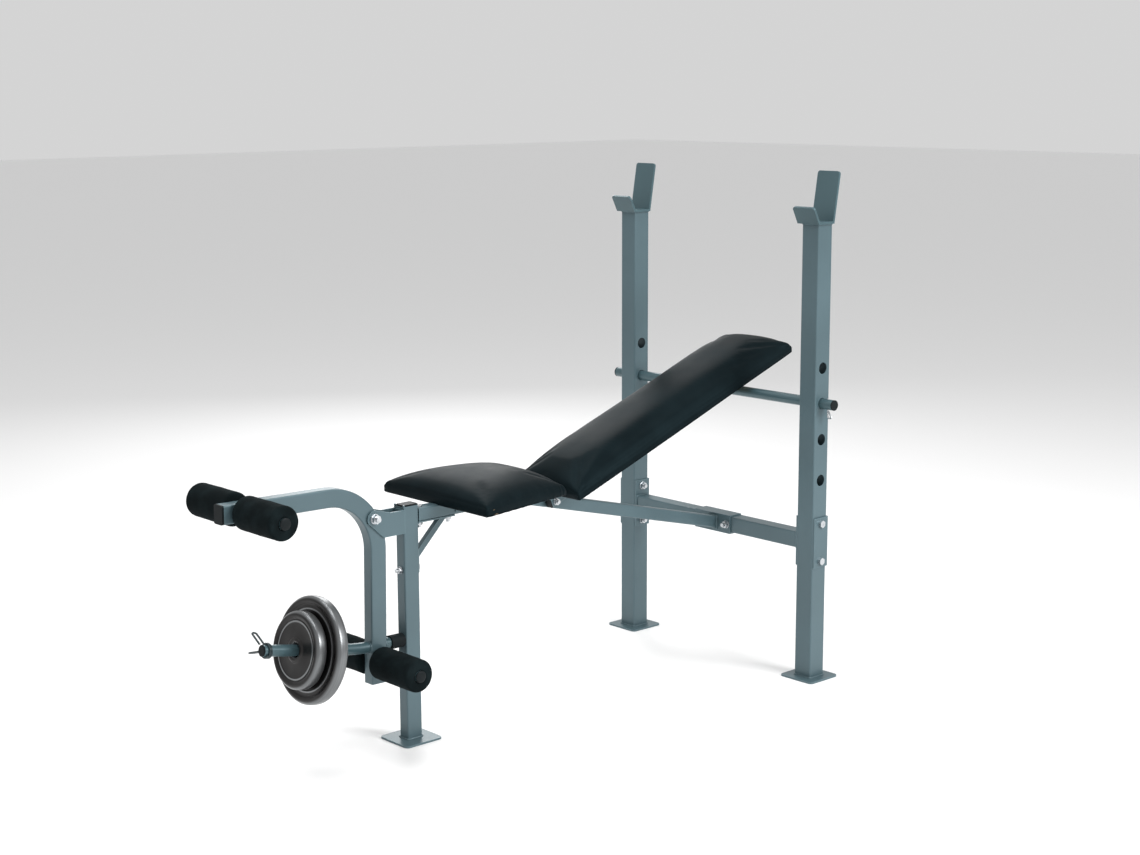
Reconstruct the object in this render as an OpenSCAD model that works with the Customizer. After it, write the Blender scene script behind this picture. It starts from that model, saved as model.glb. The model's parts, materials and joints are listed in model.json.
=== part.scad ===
// Adjustable weight bench with bar rests, a pinned incline backrest and a
// leg-extension lever that carries weight plates on a horn.
// Millimetres. X runs across the bench, Y from the front post towards the
// uprights, Z up. The origin is on the floor under the middle of the front post.

/* [Overall] */
// Distance between the centre lines of the two uprights
upright_spacing = 611; // [500:1:740]
// Distance from the front post to the uprights, centre to centre
bench_len = 988; // [820:1:1190]
// Height of the top of the uprights above the floor
upright_h = 1103; // [900:1:1330]

/* [Frame tubes] */
// Side of the square upright tube
upright_side = 50; // [40:1:60]
// Width of the front post across the bench
post_w = 30; // [25:1:40]
// Depth of the front post along the bench
post_d = 40; // [32:1:50]
// Height of the front post without its cap
post_h = 530; // [480:1:640]
// Side of the square crossbar tube
crossbar_side = 40; // [32:1:46]
// Height of the middle of the crossbar above the floor
crossbar_z = 340; // [280:1:410]
// Side of the square main beam tube
beam_side = 30; // [25:1:36]
// Height of the flat top of the main beam, which carries the seat
beam_top_z = 522; // [480:1:620]
// Wall thickness of every steel tube
tube_wall = 2; // [1.5:0.1:3]
// Outside corner radius of the square and rectangular tubes
tube_corner = 3.5; // [2:0.5:5]

/* [Plates and brackets] */
// Side of the square foot plates
foot_side = 100; // [84:1:120]
// Thickness of the foot plates
foot_t = 4.5; // [3:0.5:8]
// Thickness of the bent steel brackets
bracket_t = 3.5; // [3:0.5:5]
// Height of the channel brackets at the crossbar ends
channel_h = 122; // [112:1:150]
// Width of the saddle bracket behind the main beam
saddle_w = 120; // [96:1:160]
// Width of the bar hooks across the bench
hook_w = 66; // [55:1:80]
// Thickness of the bar hooks
hook_t = 5; // [4:0.5:7]
// Height of the tall rear plate of a bar hook
hook_back_h = 122; // [100:1:150]
// Length of the short front lip of a bar hook
hook_lip = 44; // [34:1:55]

/* [Incline bar] */
// Heights of the bar holes in the uprights, lowest first
hole_heights = [492, 591, 678, 763]; // [430:1:880]
// Which hole holds the bar, counted from 0 at the bottom
bar_hole = 2; // [1:1:3]
// Diameter of the bar holes
hole_d = 28; // [27:0.5:32]
// Diameter of the incline bar
bar_d = 25; // [22:0.5:26]
// How far each end of the bar stands out of its upright
bar_out = 35.5; // [34:0.5:60]

/* [Seat] */
// Distance from the front post's centre to the front edge of the seat
seat_front = 74; // [50:1:90]
// Length of the seat
seat_len = 276; // [230:1:332]
// Width of the seat at its front edge
seat_front_w = 368; // [300:1:442]
// Width of the seat at its rear edge
seat_rear_w = 262; // [210:1:320]
// Thickness of the boards inside both pads
board_t = 12; // [9:1:18]
// Thickness of the seat foam above its board
seat_foam = 44; // [30:1:60]

/* [Backrest] */
// Length of the backrest
back_len = 775; // [690:1:930]
// Width of the backrest
back_w = 220; // [180:1:264]
// Thickness of the backrest foam above its board
back_foam = 46; // [34:1:56]
// Side of the square backrest rails
rail_side = 20; // [18:1:22]
// Height of the backrest hinge above the middle of the main beam
hinge_rise = 3; // [2:0.5:4]

/* [Leg lever] */
// Width of the lever tube across the bench
lever_w = 30; // [25:1:34]
// Depth of the lever tube in its bend plane
lever_d = 40; // [34:1:46]
// Radius of the lever's bend at the middle of the tube
lever_bend = 129; // [110:1:150]
// Gap between the front post and the back of the lever
lever_gap = 47; // [40:1:60]
// Height of the middle of the lever's top arm
lever_arm_z = 576; // [560:1:640]
// Distance from the front post's centre to the front end of the lever
lever_reach = 470; // [400:1:560]
// Height of the lower end of the lever
lever_foot_z = 151; // [110:1:165]
// How far the hanging lever leans forward at its foot, in degrees
lever_lean = 1; // [0:0.25:2]
// Distance from the front post's centre to the lever pivot
pivot_y = 101; // [96:1:106]
// Height of the lever pivot
pivot_z = 518; // [512:1:524]

/* [Foam rollers] */
// Diameter of the foam rollers
roller_d = 72; // [60:1:86]
// Length of one foam roller
roller_len = 137; // [110:1:170]
// Diameter of the tubes that carry the rollers
roller_tube_d = 25; // [22:0.5:28]
// Distance from the front end of the lever to the upper rollers
upper_roller_in = 49; // [40:1:80]
// Height of the lower rollers above the lever's lower end
lower_roller_up = 48; // [40:1:50]

/* [Weights] */
// Diameter of the plate horn
horn_d = 25; // [22:0.5:25.5]
// Height of the plate horn where it passes through the lever
horn_z = 232.5; // [228:0.5:245]
// Upward tilt of the front part of the horn, in degrees
horn_tilt = 10; // [6:0.5:14]
// Length of the tilted part of the horn
horn_len = 249; // [245:1:300]
// Diameter of the large weight plate
large_plate_d = 230; // [190:1:276]
// Diameter of the small weight plate
small_plate_d = 166; // [140:1:180]
// Thickness of each weight plate
plate_t = 30; // [25:1:34]
// Diameter of the hole in the weight plates
plate_bore = 28; // [26.5:0.5:30]
// Distance from the horn's bend to the back of the large plate
plate_seat = 110; // [100:1:120]

/* [Hidden] */
// gap between solids of different moving bodies that pass or rest on each other
clear = 0.3;
// radial clearance of a running fit
fit = 0.05;
// radial clearance of a bolt in a plain hole
bolt_play = 0.4;
// clearance of a push-in plug
plug_play = 0.2;
// how far a cutting body runs past the surface it cuts
cut = 1;
// corner steps of a tube section
corner_steps = 4;

// hexagon bolts: shank radius, head and nut width across flats, head and nut height
m8_r = 4;
m8_af = 13;
m8_h = 6;
m10_r = 5;
m10_af = 16;
m10_h = 7;
m12_r = 6;
m12_af = 18;
m12_h = 8;
washer_t = 1.6;
// screws that hold the boards: shank radius, head across flats and head height
screw_r = 3;
screw_af = 10;
screw_h = 4;
// board left above a screw's end and above its hole
screw_cover = 3;
hole_cover = 2;
thread_out = 6;

half_span = upright_spacing / 2;
upright_half = upright_side / 2;
post_front = -post_d / 2;
post_rear = post_d / 2;

// crossbar, its channel brackets and the saddle bracket
channel_gap = clear;
channel_inner = half_span - upright_half - channel_gap - bracket_t;
channel_bolt_off = channel_h / 2 - 15;
crossbar_front = bench_len - crossbar_side / 2;
saddle_face = crossbar_front - bracket_t;
saddle_bolt_x = saddle_w / 2 - 12;

// main beam: a flat stretch under the seat, a bend and a stretch down to the crossbar
beam_mid_z = beam_top_z - beam_side / 2;
beam_start = post_rear + 1.5;
beam_bend_y = seat_front + seat_len - 60;
beam_slope = atan2(beam_mid_z - crossbar_z, saddle_face - beam_bend_y);
// how far the two arms of a mitred bend run into each other
mitre_lap = 0.5;

// shelf plate, brace and bolts that carry the beam on the front post
shelf_t = 3;
shelf_len = 102;
shelf_z = beam_top_z - beam_side - shelf_t;
shelf_bolt_y = [post_rear + 13, post_rear + 93];
shelf_head_h = 3.5;
shelf_head_room = 5;
brace_side = 13;
brace_tab_t = 3;
brace_top_y = post_rear + 75;
brace_foot_z = shelf_z - (brace_top_y - post_rear - brace_tab_t);
brace_bolt_z = brace_foot_z - 29;

// backrest hinge, and the recline that lays its rails on the incline bar
hinge_y = seat_front + seat_len + 52;
hinge_z = beam_mid_z - (hinge_y - beam_bend_y) * tan(beam_slope) + hinge_rise;
bar_z = hole_heights[bar_hole];
bar_dy = bench_len - hinge_y;
bar_dz = bar_z - hinge_z;
rail_to_bar = bar_d / 2 + rail_side / 2 + clear;
recline = atan2(bar_dz, bar_dy) + asin(rail_to_bar / norm([bar_dy, bar_dz]));
rail_gap = 1;
rail_x = beam_side / 2 + rail_gap + rail_side / 2;
rail_tail = 12;
rail_len = norm([bar_dy, bar_dz]) + 90;
board_start = 11;
board_inset = 4;
hinge_bush_r = 6;
back_screw_y = [70, 330, 600];

// seat brackets under the seat board
seat_angle_w = 30;
seat_angle_t = 3;
seat_angle_y = seat_front + 48;
seat_angle_len = beam_bend_y - beam_side - seat_angle_y;
seat_screw_x = beam_side / 2 + seat_angle_w / 2 + 2;
seat_screw_y = [seat_angle_y + 22, seat_angle_y + seat_angle_len - 22];

bar_half = half_span + upright_half + bar_out;
bar_cap_t = 6;
bar_wall = 2;
hitch_x = half_span + upright_half + 18;
hitch_r = 2;
hitch_drop = 21;
hitch_side = 13;

// lever, drawn upright and then leaned about its pivot
leg_y = post_front - lever_gap - lever_d / 2;
bend_y = leg_y - lever_bend;
bend_z = lever_arm_z - lever_bend;
pivot_bush_r = 9;
ear_gap = 0.5;
ear_t = 4;
ear_in = lever_w / 2 + ear_gap;
ear_r = 18;
// length of an ear's flat top, and of its foot behind the pivot
ear_flat = 38;
ear_foot = 24;
ear_low_z = pivot_z - 45;
ear_top_z = pivot_z + 7;
web_t = 4;
upper_roller_y = -lever_reach + upper_roller_in;
lower_roller_z = lever_foot_z + lower_roller_up;
roller_in = lever_w / 2 + 4;
roller_tube_half = roller_in + roller_len + 1.5;
roller_cap_t = 3;

// horn: a rear stub with the bumper, a stretch through the lever, a bend and a tilted end
horn_vertex_y = leg_y - lever_d / 2 - 24;
horn_wall = 2.5;
horn_cap_t = 3;
bumper_r = 15.5;
bumper_len = 36;
bumper_wall = 4;
bumper_top = horn_z + bumper_r - pivot_z;
bumper_end = -pivot_y + (post_front - clear + pivot_y - bumper_top * sin(lever_lean)) / cos(lever_lean);
stub_end = bumper_end - bumper_wall;

small_seat = plate_seat + plate_t + clear;
collar_wire = 2;
collar_pitch = 3.5;
collar_r = horn_d / 2 + fit + collar_wire;
collar_seat = horn_len - horn_cap_t - 13;
collar_handle = 60;
collar_angles = [154, 197];

$fn = 48;

// ---- shared shapes ----

// corner points of a rounded rectangle, centred
function rounded_rect(w, h, r, steps = corner_steps) = [
    for (corner = [0 : 3], i = [0 : steps])
        let (sx = (corner == 0 || corner == 3) ? 1 : -1,
             sy = corner < 2 ? 1 : -1,
             a = 90 * corner + 90 * i / steps)
        [sx * (w / 2 - r) + r * cos(a), sy * (h / 2 - r) + r * sin(a)]
];

// section of a hollow rectangular tube
module tube_section(w, h) {
    difference() {
        polygon(rounded_rect(w, h, tube_corner));
        polygon(rounded_rect(w - 2 * tube_wall, h - 2 * tube_wall, tube_corner / 2));
    }
}

// rectangular tube standing on the floor of its own frame
module tube_up(w, d, len) {
    linear_extrude(len) tube_section(w, d);
}

// rectangular tube along +Y from the origin, w across and h high
module tube_along(w, h, len) {
    rotate([-90, 0, 0]) linear_extrude(len) tube_section(w, h);
}

// bend that starts along +Y at the origin and turns down through an angle
module tube_bend_down(w, h, radius, angle) {
    translate([0, 0, -radius]) mirror([0, 0, 1]) rotate([0, 90, 0])
        rotate_extrude(angle = angle, $fn = 96) translate([radius, 0]) tube_section(h, w);
}

// solid rods along X and along Y, between two places
module rod_x(r, from, to) {
    translate([from, 0, 0]) rotate([0, 90, 0]) cylinder(r = r, h = to - from);
}

module rod_y(r, from, to) {
    translate([0, from, 0]) rotate([-90, 0, 0]) cylinder(r = r, h = to - from);
}

// round tube along X between two places
module round_tube_x(r, wall, from, to) {
    difference() {
        rod_x(r, from, to);
        rod_x(r - wall, from - cut, to + cut);
    }
}

// hexagon bolt: its head is below the origin and its shank runs up +Z
module hex_bolt(r, af, h, grip, out = thread_out) {
    translate([0, 0, -h]) cylinder(d = af / cos(30), h = h, $fn = 6);
    translate([0, 0, -cut / 4]) cylinder(r = r, h = grip + out + cut / 4);
}

// nut and washer on a shank, lying on the origin plane
module nut_and_washer(r, af, h) {
    difference() {
        cylinder(r = af * 0.62, h = washer_t);
        translate([0, 0, -cut]) cylinder(r = r + fit, h = washer_t + 2 * cut);
    }
    translate([0, 0, washer_t]) difference() {
        cylinder(d = af / cos(30), h = h, $fn = 6);
        translate([0, 0, -cut]) cylinder(r = r + fit, h = h + 2 * cut);
    }
}

// turn what runs along +Z to run along +X, -X, +Y or -Z
module to_x() { rotate([0, 90, 0]) children(); }
module to_minus_x() { rotate([0, -90, 0]) children(); }
module to_minus_y() { rotate([90, 0, 0]) children(); }
module to_minus_z() { rotate([180, 0, 0]) children(); }

// both sides of the bench, and one side by its sign
module both_sides() {
    children();
    mirror([1, 0, 0]) children();
}

// ---- places ----

// the lever's own upright frame, leaned about the pivot
module lever_place() {
    translate([0, -pivot_y, pivot_z]) rotate([-lever_lean, 0, 0])
        translate([0, pivot_y, -pivot_z]) children();
}

// the tilted end of the horn: +Z runs out along the horn from its bend
module horn_place() {
    lever_place() translate([0, horn_vertex_y, horn_z])
        rotate([90 - horn_tilt, 0, 0]) children();
}

// the backrest: origin at its hinge, +Y along the rails, +Z out of the pad
module back_place() {
    translate([0, hinge_y, hinge_z]) rotate([recline, 0, 0]) children();
}

// ---- uprights, feet and bar hooks ----

module upright(side) {
    color("#5b747d") translate([side * half_span, bench_len, foot_t]) difference() {
        tube_up(upright_side, upright_side, upright_h - foot_t);
        for (z = hole_heights) translate([0, 0, z - foot_t])
            rod_x(hole_d / 2, -upright_half - cut, upright_half + cut);
        for (s = [-1, 1]) translate([0, 0, crossbar_z - foot_t + s * channel_bolt_off])
            rod_x(m10_r + bolt_play, -upright_half - cut, upright_half + cut);
    }
}

module foot(x, y) {
    color("#5b747d") translate([x, y, 0])
        linear_extrude(foot_t) polygon(rounded_rect(foot_side, foot_side, 9, 3));
}

// cutter that rounds the two free corners of a strip which rises along +Z to a height
module round_strip_end(height, r) {
    both_sides() translate([hook_w / 2 - r, 0, height - r]) difference() {
        translate([0, -3 * hook_t, 0]) cube([r + cut, 6 * hook_t, r + cut]);
        rod_y(r, -4 * hook_t, 4 * hook_t);
    }
}

// bar hook bent from one strip: a short lip in front, a base and a tall plate behind
module bar_hook(side) {
    lip_lean = 27;
    back_lean = 9.5;
    corner_r = 7;
    front = -upright_half - 8;
    rear = upright_half - 3;
    lip = [front - hook_lip * sin(lip_lean), hook_lip * cos(lip_lean)];
    back = [rear + hook_back_h * sin(back_lean), hook_back_h * cos(back_lean)];
    lip_side = hook_t * [cos(lip_lean), sin(lip_lean)];
    back_side = hook_t * [-cos(back_lean), sin(back_lean)];
    lip_foot = hook_t * tan(45 - lip_lean / 2);
    back_foot = hook_t * tan(45 - back_lean / 2);
    color("#3e5a60") translate([side * half_span, bench_len, upright_h]) difference() {
        translate([-hook_w / 2, 0, 0]) rotate([90, 0, 90]) linear_extrude(hook_w) polygon([
            [front, 0], lip, lip + lip_side, [front + lip_foot, hook_t],
            [rear - back_foot, hook_t], back + back_side, back, [rear, 0]
        ]);
        translate([0, front, 0]) rotate([lip_lean, 0, 0]) round_strip_end(hook_lip, corner_r);
        translate([0, rear, 0]) rotate([-back_lean, 0, 0]) round_strip_end(hook_back_h, corner_r);
    }
}

module left_upright() { upright(-1); }
module right_upright() { upright(1); }
module left_foot() { foot(-half_span, bench_len); }
module right_foot() { foot(half_span, bench_len); }
module front_foot() { foot(0, 0); }
module left_bar_hook() { bar_hook(-1); }
module right_bar_hook() { bar_hook(1); }

// ---- crossbar and its brackets ----

module crossbar() {
    color("#435c63") difference() {
        translate([-channel_inner, bench_len, crossbar_z]) rotate([0, 90, 0])
            linear_extrude(2 * channel_inner) tube_section(crossbar_side, crossbar_side);
        for (s = [-1, 1]) translate([s * saddle_bolt_x, bench_len, crossbar_z])
            rod_y(m10_r + bolt_play, -crossbar_side, crossbar_side);
    }
}

// channel that wraps an upright from behind, seen from above
module channel_bracket() {
    inside = upright_side + 2 * channel_gap;
    r = 5;
    reach = upright_side + channel_gap + bracket_t - 2;
    color("#5b747d") translate([half_span, bench_len + upright_half + channel_gap + bracket_t,
                                crossbar_z - channel_h / 2])
    difference() {
        linear_extrude(channel_h) difference() {
            translate([0, -reach / 2 - r])
                polygon(rounded_rect(inside + 2 * bracket_t, reach + 2 * r, r));
            translate([-inside / 2, -reach - 3 * r]) square([inside, reach + 3 * r - bracket_t]);
            translate([-inside, -reach - 3 * r]) square([2 * inside, 3 * r]);
        }
        for (s = [-1, 1]) translate([0, -upright_half - channel_gap - bracket_t,
                                     channel_h / 2 + s * channel_bolt_off])
            rod_x(m10_r + bolt_play, -inside, inside);
    }
}

module left_channel() { mirror([1, 0, 0]) channel_bracket(); }
module right_channel() { channel_bracket(); }

module channel_bolts() {
    grip = upright_side + 2 * channel_gap + 2 * bracket_t + washer_t + m10_h;
    color("#c9cfd0") both_sides() for (s = [-1, 1])
        translate([half_span + upright_half + channel_gap + bracket_t, bench_len,
                   crossbar_z + s * channel_bolt_off])
        to_minus_x() hex_bolt(m10_r, m10_af, m10_h, grip);
}

module channel_nuts() {
    color("#c9cfd0") both_sides() for (s = [-1, 1])
        translate([channel_inner, bench_len, crossbar_z + s * channel_bolt_off])
        to_minus_x() nut_and_washer(m10_r, m10_af, m10_h);
}

// saddle welded to the end of the beam, wrapped over and under the crossbar
module saddle_bracket() {
    inner = crossbar_side;
    color("#435c63") translate([-saddle_w / 2, 0, crossbar_z]) difference() {
        translate([0, saddle_face, -inner / 2 - bracket_t])
            cube([saddle_w, crossbar_side + bracket_t - 3, inner + 2 * bracket_t]);
        translate([-cut, crossbar_front, -inner / 2])
            cube([saddle_w + 2 * cut, crossbar_side + cut, inner]);
        for (s = [-1, 1]) translate([saddle_w / 2 + s * saddle_bolt_x, saddle_face, 0])
            rod_y(m10_r + bolt_play, -cut, bracket_t + cut);
    }
}

module saddle_bolts() {
    grip = crossbar_side + bracket_t + washer_t + m10_h;
    color("#c9cfd0") for (s = [-1, 1])
        translate([s * saddle_bolt_x, bench_len + crossbar_side / 2, crossbar_z])
        to_minus_y() hex_bolt(m10_r, m10_af, m10_h, grip, 8);
}

module saddle_nuts() {
    color("#c9cfd0") for (s = [-1, 1]) translate([s * saddle_bolt_x, saddle_face, crossbar_z])
        to_minus_y() nut_and_washer(m10_r, m10_af, m10_h);
}

// ---- main beam and front post ----

// one arm of the beam's bend, from its far end to just past the mitre
module mitred_tube(side, len) {
    difference() {
        translate([0, -len, 0]) tube_along(side, side, len + side);
        rotate([-beam_slope / 2, 0, 0]) translate([-side, mitre_lap, -2 * side])
            cube([2 * side, 3 * side, 4 * side]);
    }
}

module main_beam() {
    slope_len = norm([saddle_face - beam_bend_y, beam_mid_z - crossbar_z]) + beam_side;
    color("#5b747d") difference() {
        translate([0, beam_bend_y, beam_mid_z]) {
            mitred_tube(beam_side, beam_bend_y - beam_start);
            rotate([-beam_slope, 0, 0]) mirror([0, 1, 0]) mitred_tube(beam_side, slope_len);
        }
        translate([-beam_side, saddle_face, crossbar_z - 3 * beam_side])
            cube([2 * beam_side, 3 * beam_side, 6 * beam_side]);
        for (y = shelf_bolt_y) translate([0, y, beam_mid_z - beam_side])
            cylinder(r = m8_r + bolt_play, h = 2 * beam_side);
        translate([0, hinge_y, hinge_z]) rod_x(m8_r + fit, -beam_side, beam_side);
    }
}

module front_post() {
    color("#647d85") translate([0, 0, foot_t]) difference() {
        tube_up(post_w, post_d, post_h - foot_t);
        translate([0, 0, brace_bolt_z - foot_t]) rod_y(m8_r + bolt_play, -post_d, post_d);
    }
}

module post_cap() {
    insert = 14;
    flange = 2.5;
    crown = 1.2;
    color("#16282b") translate([0, 0, post_h]) {
        linear_extrude(flange) polygon(rounded_rect(post_w, post_d, tube_corner));
        translate([0, 0, flange]) linear_extrude(crown)
            polygon(rounded_rect(post_w - 2 * crown, post_d - 2 * crown, tube_corner));
        translate([0, 0, -insert]) linear_extrude(insert)
            polygon(rounded_rect(post_w - 2 * tube_wall - 2 * plug_play,
                                 post_d - 2 * tube_wall - 2 * plug_play, tube_corner / 2));
    }
}

module beam_shelf() {
    color("#435c63") difference() {
        translate([-beam_side / 2, post_rear, shelf_z]) cube([beam_side, shelf_len, shelf_t]);
        for (y = shelf_bolt_y) translate([0, y, shelf_z - cut])
            cylinder(r = m8_r + bolt_play, h = shelf_t + 2 * cut);
    }
}

// diagonal brace at 45 degrees with the tab that is bolted to the back of the post
module post_brace() {
    tab_w = 22;
    tab_rear = post_rear + brace_tab_t;
    tab_low = brace_bolt_z - tab_w / 2;
    half = brace_side / sqrt(2);
    color("#4c656d") difference() {
        union() {
            translate([-brace_side / 2, 0, 0]) rotate([90, 0, 90]) linear_extrude(brace_side) polygon([
                [tab_rear, brace_foot_z - half], [tab_rear, brace_foot_z + half],
                [brace_top_y - half, shelf_z], [brace_top_y + half, shelf_z]
            ]);
            translate([-tab_w / 2, post_rear, tab_low])
                cube([tab_w, brace_tab_t, brace_foot_z + brace_side - tab_low]);
        }
        translate([0, post_rear, brace_bolt_z]) rod_y(m8_r + bolt_play, -cut, brace_tab_t + cut);
    }
}

module brace_bolt() {
    color("#c9cfd0") translate([0, post_rear + brace_tab_t, brace_bolt_z])
        to_minus_y() hex_bolt(m8_r, m8_af, m8_h, brace_tab_t + post_d + washer_t + m8_h);
}

module brace_nut() {
    color("#c9cfd0") translate([0, post_front, brace_bolt_z])
        to_minus_y() nut_and_washer(m8_r, m8_af, m8_h);
}

// the rear one's low head lies in a counterbore of the seat board
module shelf_bolts() {
    color("#c9cfd0") for (y = shelf_bolt_y) translate([0, y, beam_top_z]) to_minus_z()
        hex_bolt(m8_r, m8_af, shelf_head_h, beam_side + shelf_t + washer_t + m8_h);
}

module shelf_nuts() {
    color("#c9cfd0") for (y = shelf_bolt_y) translate([0, y, shelf_z])
        to_minus_z() nut_and_washer(m8_r, m8_af, m8_h);
}

// ---- lever pivot on the post ----

// outline of one ear in (y, z), round about the pivot
function ear_outline() = concat(
    [[post_front, ear_low_z], [post_front, ear_top_z], [post_front - ear_flat, ear_top_z]],
    [for (a = [75 : 15 : 210]) [-pivot_y + ear_r * cos(a), pivot_z + ear_r * sin(a)]],
    [[-pivot_y + ear_foot, ear_low_z]]
);

module ear(side) {
    from = side > 0 ? ear_in : -ear_in - ear_t;
    translate([from, 0, 0]) rotate([90, 0, 90]) linear_extrude(ear_t)
        polygon(ear_outline());
}

module pivot_bracket() {
    color("#647d85") difference() {
        union() {
            ear(-1);
            ear(1);
            translate([-ear_in - 0.5, post_front - web_t, ear_low_z])
                cube([2 * ear_in + 1, web_t, ear_top_z - ear_low_z]);
        }
        translate([0, -pivot_y, pivot_z]) rod_x(m12_r + fit, -60, 60);
    }
}

module pivot_bolt() {
    grip = 2 * (ear_in + ear_t) + washer_t + m12_h;
    color("#c9cfd0") translate([-ear_in - ear_t, -pivot_y, pivot_z])
        to_x() hex_bolt(m12_r, m12_af, m12_h, grip);
}

module pivot_nut() {
    color("#c9cfd0") translate([ear_in + ear_t, -pivot_y, pivot_z])
        to_x() nut_and_washer(m12_r, m12_af, m12_h);
}

// ---- seat ----

// half outline of the seat, mirrored to the other side, grown by a margin
module seat_outline(margin) {
    r = 16;
    front = seat_front_w / 2 + margin - r;
    rear = seat_rear_w / 2 + margin - r;
    corners = [[front, seat_front - margin + r], [rear, seat_front + seat_len + margin - r]];
    hull() both_sides() for (p = corners) translate(p) circle(r, $fn = 24);
}

module seat_board() {
    seat = -board_inset;
    color("#6b5a45") difference() {
        translate([0, 0, beam_top_z]) linear_extrude(board_t) seat_outline(seat);
        translate([0, shelf_bolt_y[1], beam_top_z - cut])
            cylinder(r = m8_af * 0.72, h = shelf_head_room + cut);
        seat_screw_places() translate([0, 0, -cut])
            cylinder(r = screw_r + fit, h = board_t - hole_cover + cut);
    }
}

module seat_cushion() {
    lip = 3;
    color("#0d1518") translate([0, 0, beam_top_z + board_t]) hull() {
        linear_extrude(seat_foam * 0.35) seat_outline(0);
        linear_extrude(seat_foam * 0.75) seat_outline(-lip * 3);
        linear_extrude(seat_foam) seat_outline(-lip * 11);
    }
}

// steel angles on both sides of the beam that carry the board
module seat_angles() {
    depth = beam_side - 6;
    color("#435c63") both_sides() difference() {
        translate([beam_side / 2, seat_angle_y, beam_top_z - depth]) difference() {
            cube([seat_angle_w, seat_angle_len, depth]);
            translate([seat_angle_t, -cut, -cut])
                cube([seat_angle_w, seat_angle_len + 2 * cut, depth - seat_angle_t + cut]);
        }
        for (y = seat_screw_y) translate([seat_screw_x, y, beam_top_z - seat_angle_t - cut])
            cylinder(r = screw_r + bolt_play, h = seat_angle_t + 2 * cut);
    }
}

module seat_screw_places() {
    both_sides() for (y = seat_screw_y) translate([seat_screw_x, y, beam_top_z]) children();
}

module seat_screws() {
    color("#c9cfd0") seat_screw_places() translate([0, 0, -seat_angle_t])
        hex_bolt(screw_r, screw_af, screw_h, seat_angle_t + board_t - screw_cover, 0);
}

// ---- backrest hinge and backrest ----

module hinge_bolt() {
    half = rail_x + rail_side / 2 + ear_gap;
    color("#c9cfd0") translate([-half, hinge_y, hinge_z])
        to_x() hex_bolt(m8_r, m8_af, m8_h, 2 * half + washer_t + m8_h, 4);
}

module hinge_nut() {
    color("#c9cfd0") translate([rail_x + rail_side / 2 + ear_gap, hinge_y, hinge_z])
        to_x() nut_and_washer(m8_r, m8_af, m8_h);
}

module back_rail(side) {
    color("#435c63") back_place() difference() {
        translate([side * rail_x, -rail_tail, 0]) tube_along(rail_side, rail_side, rail_tail + rail_len);
        translate([side * rail_x, 0, 0])
            rod_x(hinge_bush_r + fit, -rail_side, rail_side);
        for (y = back_screw_y) translate([side * rail_x, y, -rail_side])
            cylinder(r = screw_r + bolt_play, h = 2 * rail_side);
    }
}

module left_back_rail() { back_rail(-1); }
module right_back_rail() { back_rail(1); }

module rail_plugs() {
    flange = 2.5;
    inner = rail_side - 2 * tube_wall - 2 * plug_play;
    tail_insert = 3;
    color("#101a1c") back_place() both_sides() translate([rail_x, 0, 0]) {
        translate([0, -rail_tail - flange, 0]) solid_along(rail_side, flange);
        translate([0, -rail_tail - flange / 2, 0]) solid_along(inner, flange / 2 + tail_insert);
        translate([0, rail_len, 0]) solid_along(rail_side, flange);
        translate([0, rail_len - 10, 0]) solid_along(inner, 10 + flange / 2);
    }
}

// square bar with rounded edges along +Y
module solid_along(side, len) {
    rotate([-90, 0, 0]) linear_extrude(len) polygon(rounded_rect(side, side, 2));
}

module hinge_bushes() {
    color("#b8bdbd") translate([0, hinge_y, hinge_z]) both_sides() difference() {
        rod_x(hinge_bush_r, rail_x - rail_side / 2, rail_x + rail_side / 2);
        rod_x(m8_r + fit, rail_x - rail_side, rail_x + rail_side);
    }
}

module back_outline(margin) {
    r = 14;
    half = back_w / 2 + margin - r;
    hull() both_sides() for (y = [board_start - margin + r, board_start + back_len + margin - r])
        translate([half, y]) circle(r, $fn = 24);
}

module back_board() {
    color("#6b5a45") back_place() difference() {
        translate([0, 0, rail_side / 2]) linear_extrude(board_t) back_outline(-board_inset + 3);
        back_screw_places() cylinder(r = screw_r + fit, h = rail_side / 2 + board_t - hole_cover);
    }
}

module back_cushion() {
    step = 3;
    color("#0d1518") back_place() translate([0, 0, rail_side / 2 + board_t]) hull() {
        linear_extrude(back_foam * 0.35) back_outline(0);
        linear_extrude(back_foam * 0.75) back_outline(-2 * step);
        linear_extrude(back_foam) back_outline(-8 * step);
    }
}

module back_screw_places() {
    both_sides() for (y = back_screw_y) translate([rail_x, y, 0]) children();
}

module back_screws() {
    color("#c9cfd0") back_place() back_screw_places() translate([0, 0, -rail_side / 2])
        hex_bolt(screw_r, screw_af, screw_h, rail_side + board_t - screw_cover, 0);
}

// ---- incline bar ----

module at_bar() { translate([0, bench_len, bar_z]) children(); }

module incline_bar() {
    color("#435c63") at_bar() difference() {
        round_tube_x(bar_d / 2, bar_wall, -bar_half, bar_half);
        translate([hitch_x, 0, -bar_d]) cylinder(r = hitch_r + fit, h = 2 * bar_d);
    }
}

module bar_caps() {
    insert = 12;
    color("#101a1c") at_bar() both_sides() {
        rod_x(bar_d / 2, bar_half, bar_half + bar_cap_t / 2);
        rod_x(bar_d / 2 - bar_wall - plug_play, bar_half - insert, bar_half + cut);
    }
}

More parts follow.
